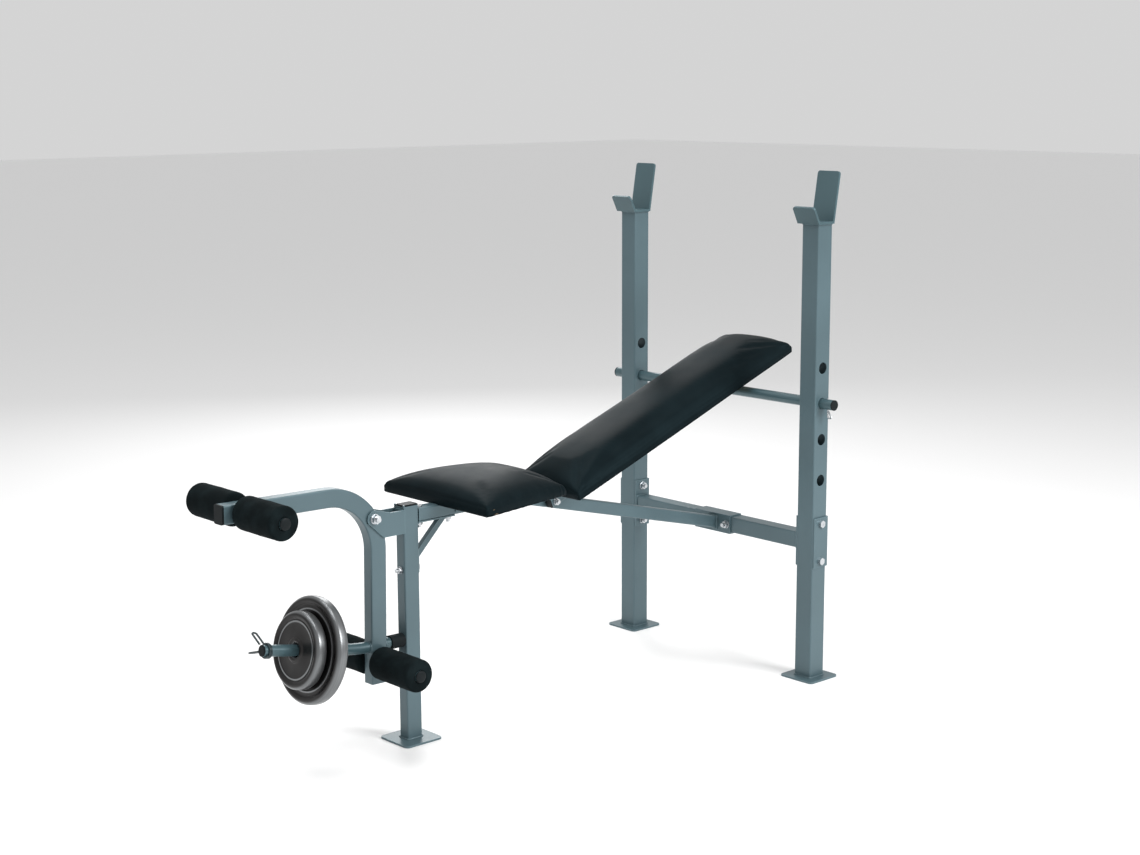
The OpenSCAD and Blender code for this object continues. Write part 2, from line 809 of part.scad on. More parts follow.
// straight pin through the bar with a three-sided wire loop under it
module hitch_pin() {
    low = -bar_d / 2 - hitch_drop;
    top_z = -bar_d / 2 - 3;
    color("#8d9a9c") translate([hitch_x, bench_len, bar_z]) {
        translate([0, 0, low]) cylinder(r = hitch_r, h = bar_d / 2 + 4 - low, $fn = 24);
        translate([0, 0, low]) sphere(hitch_r, $fn = 24);
        translate([0, 0, low]) to_x() cylinder(r = hitch_r, h = hitch_side, $fn = 24);
        translate([hitch_side, 0, low]) sphere(hitch_r, $fn = 24);
        translate([hitch_side, 0, low])
            rotate([0, -atan2(hitch_side, top_z - low), 0])
            cylinder(r = hitch_r, h = norm([hitch_side, top_z - low]), $fn = 24);
    }
}

// ---- leg lever ----

module lever() {
    arm_len = bend_y + lever_reach;
    color("#647d85") lever_place() difference() {
        union() {
            translate([0, -lever_reach, lever_arm_z]) tube_along(lever_w, lever_d, arm_len);
            translate([0, bend_y, lever_arm_z]) tube_bend_down(lever_w, lever_d, lever_bend, 90);
            translate([0, leg_y, lever_foot_z]) tube_up(lever_w, lever_d, bend_z - lever_foot_z);
        }
        translate([0, -pivot_y, pivot_z]) rod_x(pivot_bush_r + fit, -lever_w, lever_w);
        translate([0, upper_roller_y, lever_arm_z]) rod_x(roller_tube_d / 2 + fit, -lever_w, lever_w);
        translate([0, leg_y, lower_roller_z]) rod_x(roller_tube_d / 2 + fit, -lever_w, lever_w);
        translate([0, leg_y, horn_z]) rod_y(horn_d / 2 + fit, -lever_d, lever_d);
    }
}

module lever_plug() {
    flange = 5;
    insert = 14;
    color("#101a1c") lever_place() translate([0, -lever_reach, lever_arm_z]) rotate([90, 0, 0]) {
        linear_extrude(flange) polygon(rounded_rect(lever_w, lever_d, tube_corner));
        translate([0, 0, -insert]) linear_extrude(insert)
            polygon(rounded_rect(lever_w - 2 * tube_wall - 2 * plug_play,
                                 lever_d - 2 * tube_wall - 2 * plug_play, tube_corner / 2));
    }
}

module pivot_bush() {
    color("#b8bdbd") translate([0, -pivot_y, pivot_z])
        round_tube_x(pivot_bush_r, pivot_bush_r - m12_r - fit, -lever_w / 2, lever_w / 2);
}

module roller_tube(y, z) {
    color("#435c63") lever_place() translate([0, y, z])
        round_tube_x(roller_tube_d / 2, tube_wall, -roller_tube_half, roller_tube_half);
}

module upper_roller_tube() { roller_tube(upper_roller_y, lever_arm_z); }
module lower_roller_tube() { roller_tube(leg_y, lower_roller_z); }

// domed push-in caps that keep the rollers on their tubes
module roller_caps() {
    insert = 12;
    dome = 3;
    head = roller_tube_d / 2 + 1;
    color("#16282b") lever_place()
        for (p = [[upper_roller_y, lever_arm_z], [leg_y, lower_roller_z]])
        translate([0, p[0], p[1]]) both_sides() {
            rod_x(head, roller_tube_half, roller_tube_half + roller_cap_t);
            translate([roller_tube_half + roller_cap_t, 0, 0]) to_x()
                cylinder(r1 = head, r2 = head * 0.55, h = dome);
            rod_x(roller_tube_d / 2 - tube_wall - plug_play, roller_tube_half - insert,
                  roller_tube_half + cut);
        }
}

module roller(side, y, z) {
    edge = 9;
    color("#10191b") lever_place() translate([side * roller_in, y, z]) rotate([0, side * 90, 0])
        rotate_extrude() polygon([
            [roller_tube_d / 2 + fit, 0], [roller_d / 2 - edge, 0], [roller_d / 2 - edge / 3, edge / 3],
            [roller_d / 2, edge], [roller_d / 2, roller_len - edge],
            [roller_d / 2 - edge / 3, roller_len - edge / 3], [roller_d / 2 - edge, roller_len],
            [roller_tube_d / 2 + fit, roller_len]
        ]);
}

module upper_left_roller() { roller(-1, upper_roller_y, lever_arm_z); }
module upper_right_roller() { roller(1, upper_roller_y, lever_arm_z); }
module lower_left_roller() { roller(-1, leg_y, lower_roller_z); }
module lower_right_roller() { roller(1, leg_y, lower_roller_z); }

// ---- horn, bumper, plates and collar ----

// the bent horn, welded up at its knuckle, with the ring that stops the large plate
module plate_horn() {
    knuckle_gap = 1.5;
    knuckle_r = horn_d / 2 + 0.5;
    hollow = 40;
    stop_w = 4;
    stop_r = horn_d / 2 + 7;
    color("#5f7880") difference() {
        union() {
            lever_place() translate([0, 0, horn_z])
                rod_y(horn_d / 2, horn_vertex_y + knuckle_gap, stub_end);
            horn_place() {
                sphere(knuckle_r);
                translate([0, 0, knuckle_gap]) cylinder(d = horn_d, h = horn_len - knuckle_gap);
                translate([0, 0, plate_seat - clear - stop_w]) cylinder(r = stop_r, h = stop_w);
            }
        }
        horn_place() translate([0, 0, horn_len - hollow])
            cylinder(d = horn_d - 2 * horn_wall, h = hollow + cut);
    }
}

module horn_plug() {
    insert = 12;
    color("#0f1c1e") horn_place() translate([0, 0, horn_len]) {
        cylinder(d = horn_d - 0.4, h = horn_cap_t / 2);
        translate([0, 0, horn_cap_t / 2]) cylinder(d1 = horn_d - 0.4, d2 = horn_d - 5, h = horn_cap_t / 2);
        translate([0, 0, -insert]) cylinder(d = horn_d - 2 * horn_wall - 2 * plug_play, h = insert);
    }
}

module bumper() {
    color("#10191b") lever_place() translate([0, 0, horn_z]) difference() {
        rod_y(bumper_r, bumper_end - bumper_len, bumper_end);
        rod_y(horn_d / 2, bumper_end - bumper_len - cut, stub_end);
    }
}

// weight plate seen as half a section: [radius, distance from its back]
module weight_plate(diameter, seat) {
    r = diameter / 2;
    bore = plate_bore / 2;
    rim = 10;
    dish = 4;
    hub = bore + 11;
    round_over = 5;
    color("#4a4643") horn_place() translate([0, 0, seat]) rotate_extrude($fn = 96) polygon([
        [bore, 0], [hub, 0], [hub + 3, dish], [r - rim - 3, dish], [r - rim, 0],
        [r - round_over, 0], [r - round_over * 0.3, round_over * 0.3], [r, round_over],
        [r, plate_t - round_over], [r - round_over * 0.3, plate_t - round_over * 0.3],
        [r - round_over, plate_t], [r - rim, plate_t], [r - rim - 3, plate_t - dish],
        [hub + 3, plate_t - dish], [hub, plate_t], [bore, plate_t]
    ]);
}

module large_plate() { weight_plate(large_plate_d, plate_seat); }
module small_plate() { weight_plate(small_plate_d, small_seat); }

// wire handle: two legs out of the coil's first and last turn, joined by a cross wire
module collar_handle(angle) {
    leg_r = collar_wire * 0.85;
    spread = 2 * collar_pitch;
    rotate([0, 0, angle]) {
        for (z = [0, spread]) translate([collar_r, 0, z]) to_x()
            cylinder(r = leg_r, h = collar_handle - collar_r, $fn = 24);
        translate([collar_handle, 0, -collar_wire]) cylinder(r = collar_wire, h = spread + 2 * collar_wire, $fn = 24);
    }
}

module spring_collar() {
    color("#24403f") horn_place() translate([0, 0, collar_seat]) {
        for (turn = [0 : 2]) translate([0, 0, turn * collar_pitch])
            rotate_extrude() translate([collar_r, 0]) circle(collar_wire, $fn = 24);
        for (angle = collar_angles) collar_handle(angle);
    }
}

left_upright();
right_upright();
left_foot();
right_foot();
front_foot();
left_bar_hook();
right_bar_hook();
crossbar();
left_channel();
right_channel();
channel_bolts();
channel_nuts();
main_beam();
saddle_bracket();
saddle_bolts();
saddle_nuts();
front_post();
post_cap();
beam_shelf();
post_brace();
brace_bolt();
brace_nut();
shelf_bolts();
shelf_nuts();
pivot_bracket();
pivot_bolt();
pivot_nut();
seat_angles();
seat_board();
seat_cushion();
seat_screws();
hinge_bolt();
hinge_nut();
left_back_rail();
right_back_rail();
rail_plugs();
hinge_bushes();
back_board();
back_cushion();
back_screws();
incline_bar();
bar_caps();
hitch_pin();
lever();
lever_plug();
pivot_bush();
upper_roller_tube();
lower_roller_tube();
roller_caps();
plate_horn();
horn_plug();
bumper();
upper_left_roller();
upper_right_roller();
lower_left_roller();
lower_right_roller();
large_plate();
small_plate();
spring_collar();
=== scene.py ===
"""Looks of the adjustable weight bench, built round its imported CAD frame."""

import json
import math

import bmesh
import bpy
from bpy.props import FloatProperty, FloatVectorProperty, IntProperty, PointerProperty
from mathutils import Euler, Matrix, Vector


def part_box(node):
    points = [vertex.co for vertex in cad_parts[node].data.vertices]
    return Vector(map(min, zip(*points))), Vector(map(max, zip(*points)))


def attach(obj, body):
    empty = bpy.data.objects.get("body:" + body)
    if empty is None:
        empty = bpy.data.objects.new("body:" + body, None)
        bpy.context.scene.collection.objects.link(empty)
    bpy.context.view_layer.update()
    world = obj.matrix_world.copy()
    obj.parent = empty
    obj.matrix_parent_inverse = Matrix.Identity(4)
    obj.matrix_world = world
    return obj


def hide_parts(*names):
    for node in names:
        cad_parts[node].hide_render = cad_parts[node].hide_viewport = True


bl_info = {
    "name": "Weight Bench Maker",
    "version": (1, 0, 0),
    "blender": (4, 5, 0),
    "location": "View3D > Sidebar > Bench",
    "description": "Builds the pads, rollers, plates, wires and finishes of an adjustable weight bench",
    "category": "Object",
}

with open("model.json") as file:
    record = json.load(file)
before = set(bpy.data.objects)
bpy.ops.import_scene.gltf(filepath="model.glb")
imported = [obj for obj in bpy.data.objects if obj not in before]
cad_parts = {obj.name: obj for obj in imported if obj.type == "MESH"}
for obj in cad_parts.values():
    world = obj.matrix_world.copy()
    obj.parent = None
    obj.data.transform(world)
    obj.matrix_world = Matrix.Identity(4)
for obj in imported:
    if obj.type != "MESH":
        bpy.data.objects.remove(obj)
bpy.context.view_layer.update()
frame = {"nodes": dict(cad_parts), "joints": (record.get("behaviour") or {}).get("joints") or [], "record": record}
NODES = frame["nodes"]
JOINTS = {joint["name"]: joint for joint in frame["joints"]}
MM = 0.001


# ---- places worked out from the frame ----

def span(node):
    """Lowest corner, highest corner and middle of a CAD node."""
    low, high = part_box(node)
    return low, high, (low + high) / 2


def joint_place(name):
    return Vector(JOINTS[name]["pos_m"])


def rail_angle():
    """Angle of the backrest rails above level, from the box of one square rail."""
    low, high, _ = span("left_back_rail")
    side, angle = high.x - low.x, 0.0
    for _ in range(8):
        angle = math.atan2(high.z - low.z - side * math.cos(angle), high.y - low.y - side * math.sin(angle))
    return angle


HINGE = joint_place("backrest_tilt")
RECLINE = rail_angle()
HORN_AXIS = Vector(JOINTS["large_plate_slide"]["axis"]).normalized()


def back_place():
    """The backrest's own frame: origin at its hinge, +Y along the rails, +Z out of the pad."""
    return Matrix.Translation(HINGE) @ Matrix.Rotation(RECLINE, 4, "X")


def axis_place(origin, axis):
    """A frame whose +Z runs along an axis and whose +X stays level."""
    z = Vector(axis).normalized()
    x = Vector((1, 0, 0)) if abs(z.x) < 0.9 else Vector((0, 1, 0))
    y = z.cross(x).normalized()
    turn = Matrix((y.cross(z), y, z)).transposed().to_4x4()
    return Matrix.Translation(origin) @ turn


def horn_place():
    """The horn's own directions at the world's origin: +Z runs out along it."""
    return axis_place(Vector((0, 0, 0)), HORN_AXIS)


def local_box(node, place):
    """Lowest and highest corner of a CAD node, measured in another frame."""
    back = place.inverted()
    points = [back @ v.co for v in NODES[node].data.vertices]
    low = Vector([min(p[i] for p in points) for i in range(3)])
    high = Vector([max(p[i] for p in points) for i in range(3)])
    return low, high


# ---- user's settings ----

class BenchPads(bpy.types.PropertyGroup):
    voxel: FloatProperty(name="Voxel", description="Remesh size of the pads", default=5 * MM, unit="LENGTH")
    pressure: FloatProperty(name="Pressure", description="Pressure that swells the pads", default=4.0)
    frames: IntProperty(name="Frames", description="Frames of cloth simulation", default=20)
    seat_cap: FloatProperty(name="Seat swell", description="Most that a point of the seat may move",
                            default=7 * MM, unit="LENGTH")
    back_cap: FloatProperty(name="Back swell", description="Most that a point of the backrest may move",
                            default=6 * MM, unit="LENGTH")
    held: FloatProperty(name="Held height", description="Height of the cover stretched over the board's edge",
                        default=14 * MM, unit="LENGTH")
    seat_edge: FloatProperty(name="Seat corner", description="Height of the seat's corners above its board",
                             default=19 * MM, unit="LENGTH")
    seat_rise: FloatProperty(name="Seat rise", description="How much higher the rim stands between the corners",
                             default=7 * MM, unit="LENGTH")


class BenchFinishes(bpy.types.PropertyGroup):
    enamel: FloatVectorProperty(name="Enamel", description="Frame enamel", subtype="COLOR", size=3,
                                default=(0.078, 0.128, 0.147), min=0, max=1)
    enamel_dark: FloatVectorProperty(name="Dark enamel", description="Enamel of the bar hooks and round bars",
                                     subtype="COLOR", size=3, default=(0.055, 0.102, 0.117), min=0, max=1)
    vinyl: FloatVectorProperty(name="Vinyl", description="Upholstery vinyl", subtype="COLOR", size=3,
                               default=(0.0040, 0.0075, 0.0090), min=0, max=1)
    foam: FloatVectorProperty(name="Foam", description="Roller foam", subtype="COLOR", size=3,
                              default=(0.0050, 0.0085, 0.0095), min=0, max=1)
    plastic: FloatVectorProperty(name="Plastic", description="Caps and plugs", subtype="COLOR", size=3,
                                 default=(0.0050, 0.0080, 0.0092), min=0, max=1)
    iron: FloatVectorProperty(name="Iron", description="Weight plates", subtype="COLOR", size=3,
                              default=(0.034, 0.033, 0.033), min=0, max=1)


class BenchStage(bpy.types.PropertyGroup):
    eye: FloatVectorProperty(name="Eye", description="Where the camera stands", subtype="TRANSLATION", size=3,
                             default=(3.234, -2.467, 1.438), unit="LENGTH")
    heading: FloatProperty(name="Heading", description="Camera azimuth round the bench",
                           default=math.radians(47.66), unit="ROTATION")
    drop: FloatProperty(name="Drop", description="How far the camera looks down",
                        default=math.radians(10.33), unit="ROTATION")
    roll: FloatProperty(name="Roll", description="Camera roll", default=math.radians(-0.21), unit="ROTATION")
    lens: FloatProperty(name="Lens", description="Focal length in millimetres", default=60.4)


def settings(group):
    return getattr(bpy.context.scene, group)


# ---- shader maths ----

class Wire:
    """A socket in a finish. Arithmetic on it adds the Math nodes that it needs."""

    def __init__(self, finish, socket):
        self.finish = finish
        self.socket = socket

    def maths(self, operation, *values, clamp=False):
        inputs = {index: value for index, value in enumerate(values)}
        return self.finish.node("Math", {"operation": operation, "use_clamp": clamp}, inputs)

    def __add__(self, other):
        return self.maths("ADD", self, other)

    def __sub__(self, other):
        return self.maths("SUBTRACT", self, other)

    def __rsub__(self, other):
        return self.maths("SUBTRACT", other, self)

    def __mul__(self, other):
        return self.maths("MULTIPLY", self, other)

    def __pow__(self, power):
        return self.maths("POWER", self, power)

    __radd__ = __add__
    __rmul__ = __mul__

    def clamped(self):
        return self.maths("ADD", self, 0.0, clamp=True)

    def step(self, low, high):
        """0 below low, 1 above high, smooth between them."""
        return self.finish.node("MapRange", {"interpolation_type": "SMOOTHSTEP"},
                                {"Value": self, "From Min": low, "From Max": high})


class Finish:
    """One material. Every node in it comes from the method node()."""

    def __init__(self, name):
        self.material = bpy.data.materials.new(name)
        self.material.use_nodes = True
        self.tree = self.material.node_tree
        self.tree.nodes.clear()
        self.place = self.node("TexCoord", out="Object")

    def node(self, kind, settings=None, inputs=None, out=0):
        """Adds a node, sets it up, fills its sockets and returns one of its outputs."""
        made = self.tree.nodes.new("ShaderNode" + kind)
        for name, value in (settings or {}).items():
            setattr(made, name, value)
        for name, value in (inputs or {}).items():
            if isinstance(value, Wire):
                self.tree.links.new(value.socket, made.inputs[name])
            else:
                made.inputs[name].default_value = value
        return Wire(self, made.outputs[out])

    def noise(self, scale, detail=2.0, roughness=0.5, at=None):
        return self.node("TexNoise", None, {"Vector": at or self.place, "Scale": scale,
                                            "Detail": detail, "Roughness": roughness})

    def cells(self, scale, feature="F1", at=None):
        return self.node("TexVoronoi", {"feature": feature}, {"Vector": at or self.place, "Scale": scale},
                         out="Distance")

    def mix(self, factor, first, second):
        """Blends two colours."""
        sockets = {"Factor": factor, 6: first, 7: second}
        return self.node("Mix", {"data_type": "RGBA"}, sockets, out=2)

    def tone(self, colour, share):
        """A colour made lighter or darker by a plain number."""
        return tuple(min(1.0, c * share) for c in colour) + (1.0,)

    def bump(self, height, distance, strength=1.0, over=None):
        inputs = {"Height": height, "Distance": distance, "Strength": strength}
        if over:
            inputs["Normal"] = over
        return self.node("Bump", None, inputs)

    def edges(self, radius):
        """1 along edges and 0 on flats, from how far a bevel of a radius would turn the surface."""
        soft = self.node("Bevel", {"samples": 4}, {"Radius": radius})
        true = self.node("NewGeometry", out="Normal")
        agree = self.node("VectorMath", {"operation": "DOT_PRODUCT"}, {0: soft, 1: true}, out="Value")
        return (1.0 - agree).step(0.02, 0.22)

    def stretched(self, scale):
        return self.node("Mapping", None, {"Vector": self.place, "Scale": scale})

    def finish(self, **sockets):
        """Adds the shader, whose sockets take these values, and the output."""
        named = {name.replace("_", " "): value for name, value in sockets.items()}
        shader = self.node("BsdfPrincipled", None, named)
        output = self.tree.nodes.new("ShaderNodeOutputMaterial")
        self.tree.links.new(shader.socket, output.inputs["Surface"])
        return self.material


def enamel(name, colour, roughness=0.34):
    """Baked enamel on steel: faint orange peel, slightly uneven tone, fine dust specks, and a painted highlight
    along its edges.
    """
    f = Finish(name)
    cloud = f.noise(5.0, 3.0).step(0.32, 0.68)
    fine = f.noise(210.0, 2.0)
    speck = f.noise(1500.0, 1.0).step(0.66, 0.74)
    base = f.mix(cloud, f.tone(colour, 0.94), f.tone(colour, 1.06))
    shade = f.mix(speck * 0.35, base, f.tone(colour, 1.45))
    peel = f.bump(fine * 0.7 + speck * 0.3, 0.10 * MM, 0.55)
    # Painted highlight: the enamel is made lighter along edges and corners, where light would catch the rounded
    # tube corners.
    edge = f.edges(2.4 * MM)
    shade = f.mix(edge * 0.5, shade, f.tone(colour, 2.4))
    return f.finish(Base_Color=shade, Roughness=roughness + cloud * 0.05 + fine * 0.07,
                    Metallic=0.25, Normal=peel, Coat_Weight=0.12, Coat_Roughness=0.2)


def zinc_plate(name):
    """Bright zinc plate with a faintly mottled grain."""
    f = Finish(name)
    mottle = f.noise(320.0, 3.0, 0.6)
    scuff = f.noise(60.0, 2.0).step(0.45, 0.7)
    grain = f.bump(mottle, 0.05 * MM, 0.5)
    shade = f.mix(scuff, (0.56, 0.58, 0.60, 1.0), (0.42, 0.45, 0.47, 1.0))
    return f.finish(Base_Color=shade, Metallic=1.0, Roughness=0.17 + mottle * 0.22, Normal=grain)


def turned_steel(name):
    """Plain turned steel with fine lathe rings."""
    f = Finish(name)
    rings = f.noise(90.0, 2.0, at=f.stretched((14.0, 1.0, 1.0)))
    shade = f.mix(rings, (0.50, 0.51, 0.52, 1.0), (0.66, 0.66, 0.66, 1.0))
    return f.finish(Base_Color=shade, Metallic=1.0, Roughness=0.28 + rings * 0.2,
                    Normal=f.bump(rings, 0.04 * MM, 0.5))


def vinyl_skin(name, colour):
    """Upholstery vinyl: small pebble grain, soft sheen, slightly uneven gloss."""
    f = Finish(name)
    pebble = f.cells(780.0, "SMOOTH_F1")
    pores = f.noise(1900.0, 2.0)
    drift = f.noise(9.0, 3.0).step(0.3, 0.7)
    rubbed_and_painted_highlight = f.noise(34.0, 4.0, 0.6)
    shade = f.mix(drift, f.tone(colour, 0.85), f.tone(colour, 1.35))
    grain = f.bump(pebble * 0.75 + pores * 0.25, 0.16 * MM, 0.42)
    return f.finish(Base_Color=shade, Roughness=0.40 + drift * 0.06 + rubbed_and_painted_highlight * 0.08, Normal=grain,
                    Specular_IOR_Level=0.05, Specular_Tint=(0.50, 0.86, 1.0, 1.0))


def roller_foam(name, colour):
    """Closed-cell foam: open pores, chalky, almost no gloss."""
    f = Finish(name)
    pores = f.cells(620.0)
    crumb = f.noise(1300.0, 3.0, 0.65)
    worn = f.noise(26.0, 3.0).step(0.35, 0.75)
    shade = f.mix(worn, f.tone(colour, 0.8), f.tone(colour, 1.6))
    dotted = f.mix(crumb.step(0.58, 0.70) * 0.5, shade, f.tone(colour, 3.2))
    return f.finish(Base_Color=dotted, Roughness=0.86 + crumb * 0.12, Specular_IOR_Level=0.06,
                    Normal=f.bump(pores * 0.6 + crumb * 0.4, 0.30 * MM, 0.6))


def moulded(name, colour, roughness=0.42):
    """Moulded plastic or rubber with a fine spark-eroded texture."""
    f = Finish(name)
    spark = f.noise(1700.0, 2.0, 0.6)
    drift = f.noise(40.0, 2.0)
    shade = f.mix(drift, f.tone(colour, 0.85), f.tone(colour, 1.25))
    return f.finish(Base_Color=shade, Roughness=roughness + spark * 0.12, Normal=f.bump(spark, 0.06 * MM, 0.5),
                    Specular_IOR_Level=0.14)


def plate_iron(name, colour, centre, radius, groove):
    """Dark enamelled iron with a painted highlight on its rounded rim, hub ring and groove, and turned rings on
    its faces.
    """
    f = Finish(name)
    away = f.node("VectorMath", {"operation": "SUBTRACT"}, {0: f.place, 1: centre})
    along = f.node("VectorMath", {"operation": "DOT_PRODUCT"}, {0: away, 1: HORN_AXIS}, out="Value")
    reach = f.node("VectorMath", {"operation": "LENGTH"}, {0: away}, out="Value")
    across = (reach * reach - along * along) ** 0.5
    rings = f.noise(1.0, 2.0, at=f.node("CombineXYZ", None, {"X": across * 900.0, "Y": along * 300.0}))
    cast = f.noise(420.0, 3.0, 0.6)
    blotch = f.noise(18.0, 3.0).step(0.3, 0.75)
    # Painted highlight: the rounded rim, the hub ring and the groove's edges are made bright, varied by the turned
    # rings.
    rim = across.step(radius - 8 * MM, radius - 2 * MM)
    hub = 1.0 - across.step(15.5 * MM, 18 * MM)
    line = across.step(groove - 2.2 * MM, groove - MM) * (1.0 - across.step(groove + MM, groove + 2.2 * MM))
    rubbed_and_painted_highlight = ((rim * 0.7 + hub + line) * (0.45 + rings * 0.5)).clamped()
    dark = f.mix(blotch, f.tone(colour, 0.82), f.tone(colour, 1.12))
    # The painted highlight's colour, a pale cool grey over the dark iron.
    shade = f.mix(rubbed_and_painted_highlight, dark, (0.33, 0.345, 0.355, 1.0))
    relief = f.bump(rings, 0.07 * MM, 0.5, over=f.bump(cast, 0.06 * MM, 0.4))
    return f.finish(Base_Color=shade, Metallic=0.80, Roughness=0.22 + cast * 0.10 + rings * 0.07, Normal=relief)


def plywood(name):
    """Raw board: long grain with darker growth lines."""
    f = Finish(name)
    stretched = f.stretched((9.0, 0.8, 9.0))
    wander = f.noise(3.0, 3.0, at=stretched)
    lines = f.node("TexWave", {"wave_type": "BANDS", "bands_direction": "X"},
                   {"Vector": stretched, "Scale": 2.6, "Distortion": 5.0, "Detail": 2.0}, out="Fac")
    fibre = f.noise(300.0, 2.0, at=f.stretched((1.0, 0.06, 1.0)))
    base = f.mix(wander, (0.28, 0.19, 0.11, 1.0), (0.40, 0.29, 0.17, 1.0))
    shade = f.mix(lines * 0.45, base, (0.20, 0.125, 0.065, 1.0))
    return f.finish(Base_Color=shade, Roughness=0.62 + fibre * 0.2, Normal=f.bump(fibre, 0.15 * MM, 0.5))


FINISHES = {}


def mix_finishes():
    """Makes every finish once, from the user's colours."""
    looks = settings("bench_finishes")
    FINISHES["frame_paint"] = enamel("frame_enamel", looks.enamel)
    FINISHES["hook_paint"] = enamel("hook_enamel", looks.enamel_dark)
    FINISHES["bar_paint"] = enamel("bar_enamel", looks.enamel_dark, 0.26)
    FINISHES["collar_wire"] = enamel("wire_enamel", [c * 0.30 for c in looks.enamel_dark], 0.24)
    FINISHES["zinc"] = zinc_plate("zinc_plate")
    FINISHES["bush_steel"] = turned_steel("turned_steel")
    FINISHES["vinyl"] = vinyl_skin("upholstery_vinyl", looks.vinyl)
    FINISHES["roller_foam"] = roller_foam("roller_foam", looks.foam)
    FINISHES["cap_plastic"] = moulded("cap_plastic", looks.plastic)
    FINISHES["bumper_rubber"] = moulded("bumper_rubber", looks.plastic, 0.6)
    FINISHES["plywood"] = plywood("raw_plywood")


# ---- making pieces ----

def staged(name, data):
    """A new object of the scene."""
    made = bpy.data.objects.new(name, data)
    bpy.context.scene.collection.objects.link(made)
    return made


def evaluated(holder):
    """The mesh that an object's modifiers or curve settings make, after which the object goes."""
    bpy.context.view_layer.update()
    mesh = bpy.data.meshes.new_from_object(holder.evaluated_get(bpy.context.evaluated_depsgraph_get()))
    bpy.data.objects.remove(holder)
    return mesh


def as_mesh(bm, name):
    """A mesh out of a bmesh, which is used up."""
    mesh = bpy.data.meshes.new(name)
    bm.to_mesh(mesh)
    bm.free()
    return mesh


def new_piece(name, mesh_or_bm, slot, body, replaces=(), smooth=True, material=None):
    """Turns a mesh into a finished piece that rides on a body."""
    mesh = as_mesh(mesh_or_bm, name) if isinstance(mesh_or_bm, bmesh.types.BMesh) else mesh_or_bm
    mesh.name = name
    piece = staged(name, mesh)
    mesh.materials.clear()
    mesh.materials.append(material or FINISHES[slot])
    mesh.polygons.foreach_set("use_smooth", [smooth] * len(mesh.polygons))
    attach(piece, body)
    if replaces:
        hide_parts(*replaces)
    return piece


def shade_by_angle(piece, degrees=35):
    """Smooth shading with sharp edges where faces meet steeply."""
    bm = bmesh.new()
    bm.from_mesh(piece.data)
    limit = math.radians(degrees)
    for edge in bm.edges:
        edge.smooth = len(edge.link_faces) == 2 and edge.calc_face_angle(0.0) < limit
    bm.to_mesh(piece.data)
    bm.free()
    return piece


def turned(profile, place, segments=96):
    """A closed solid of revolution: (radius, height) points spun about +Z of a place."""
    bm = bmesh.new()
    verts = [bm.verts.new((radius, 0, height)) for radius, height in profile]
    edges = [bm.edges.new(pair) for pair in zip(verts, verts[1:])]
    if profile[0][0] > 1e-6:
        edges.append(bm.edges.new((verts[-1], verts[0])))
    bmesh.ops.spin(bm, geom=verts + edges, axis=(0, 0, 1), cent=(0, 0, 0), angle=math.tau,
                   steps=segments, use_merge=True)
    bmesh.ops.remove_doubles(bm, verts=bm.verts, dist=1e-6)
    bmesh.ops.recalc_face_normals(bm, faces=bm.faces)
    bmesh.ops.transform(bm, matrix=place, verts=bm.verts)
    return bm


def arc(start, corner, end, steps):
    """Points of a soft bend from start to end, drawn towards a corner."""
    shares = [i / steps for i in range(steps + 1)]
    return [start.lerp(corner, t).lerp(corner.lerp(end, t), t) for t in shares]


def rounded(points, radius, steps=4):
    """The same line with each inner corner replaced by a bend of about a radius."""
    points = [Vector(point) for point in points]
    out = [points[0]]
    for before, here, after in zip(points, points[1:], points[2:]):
        back, ahead = before - here, after - here
        reach = min(radius, back.length * 0.45, ahead.length * 0.45)
        out += arc(here + back.normalized() * reach, here, here + ahead.normalized() * reach, steps)
    return out + [points[-1]]


def gathered(meshes):
    """One bmesh out of several meshes, which are used up."""
    bm = bmesh.new()
    for mesh in meshes:
        bm.from_mesh(mesh)
        bpy.data.meshes.remove(mesh)
    return bm


def joined(parts):
    """One bmesh out of several."""
    return gathered([as_mesh(part, "part") for part in parts])


def tube_mesh(runs, radius, sides=4, closed=False):
    """Round wires or tubes along runs of (point, share of the radius)."""
    curve = bpy.data.curves.new("run", "CURVE")
    curve.dimensions = "3D"
    curve.bevel_depth = radius
    curve.bevel_resolution = sides
    curve.use_fill_caps = True
    for run in runs:
        spline = curve.splines.new("POLY")
        spline.points.add(len(run) - 1)
        for point, (place, share) in zip(spline.points, run):
            point.co = (*place, 1.0)
            point.radius = share
        spline.use_cyclic_u = closed
    mesh = evaluated(staged("run", curve))
    bpy.data.curves.remove(curve)
    return mesh


def even_run(points):
    """A run of full radius from end to end."""
    return [(point, 1.0) for point in points]


def along(points, step):
    """Evenly spaced places along a line of points, with the distance gone at each."""
    out, gone = [], 0.0
    for a, b in zip(points, points[1:]):
        count = max(1, round((b - a).length / step))
        for i in range(count):
            out.append((a.lerp(b, i / count), gone + (b - a).length * i / count))
        gone += (b - a).length
    return out + [(points[-1], gone)]


# ---- pads ----

def under(u, w):
    """Height of a pad's underside: its rim wraps under the board, its middle stays inside the board."""
    return -2.5 * MM if max(abs(u), abs(w)) > 0.88 else 3 * MM


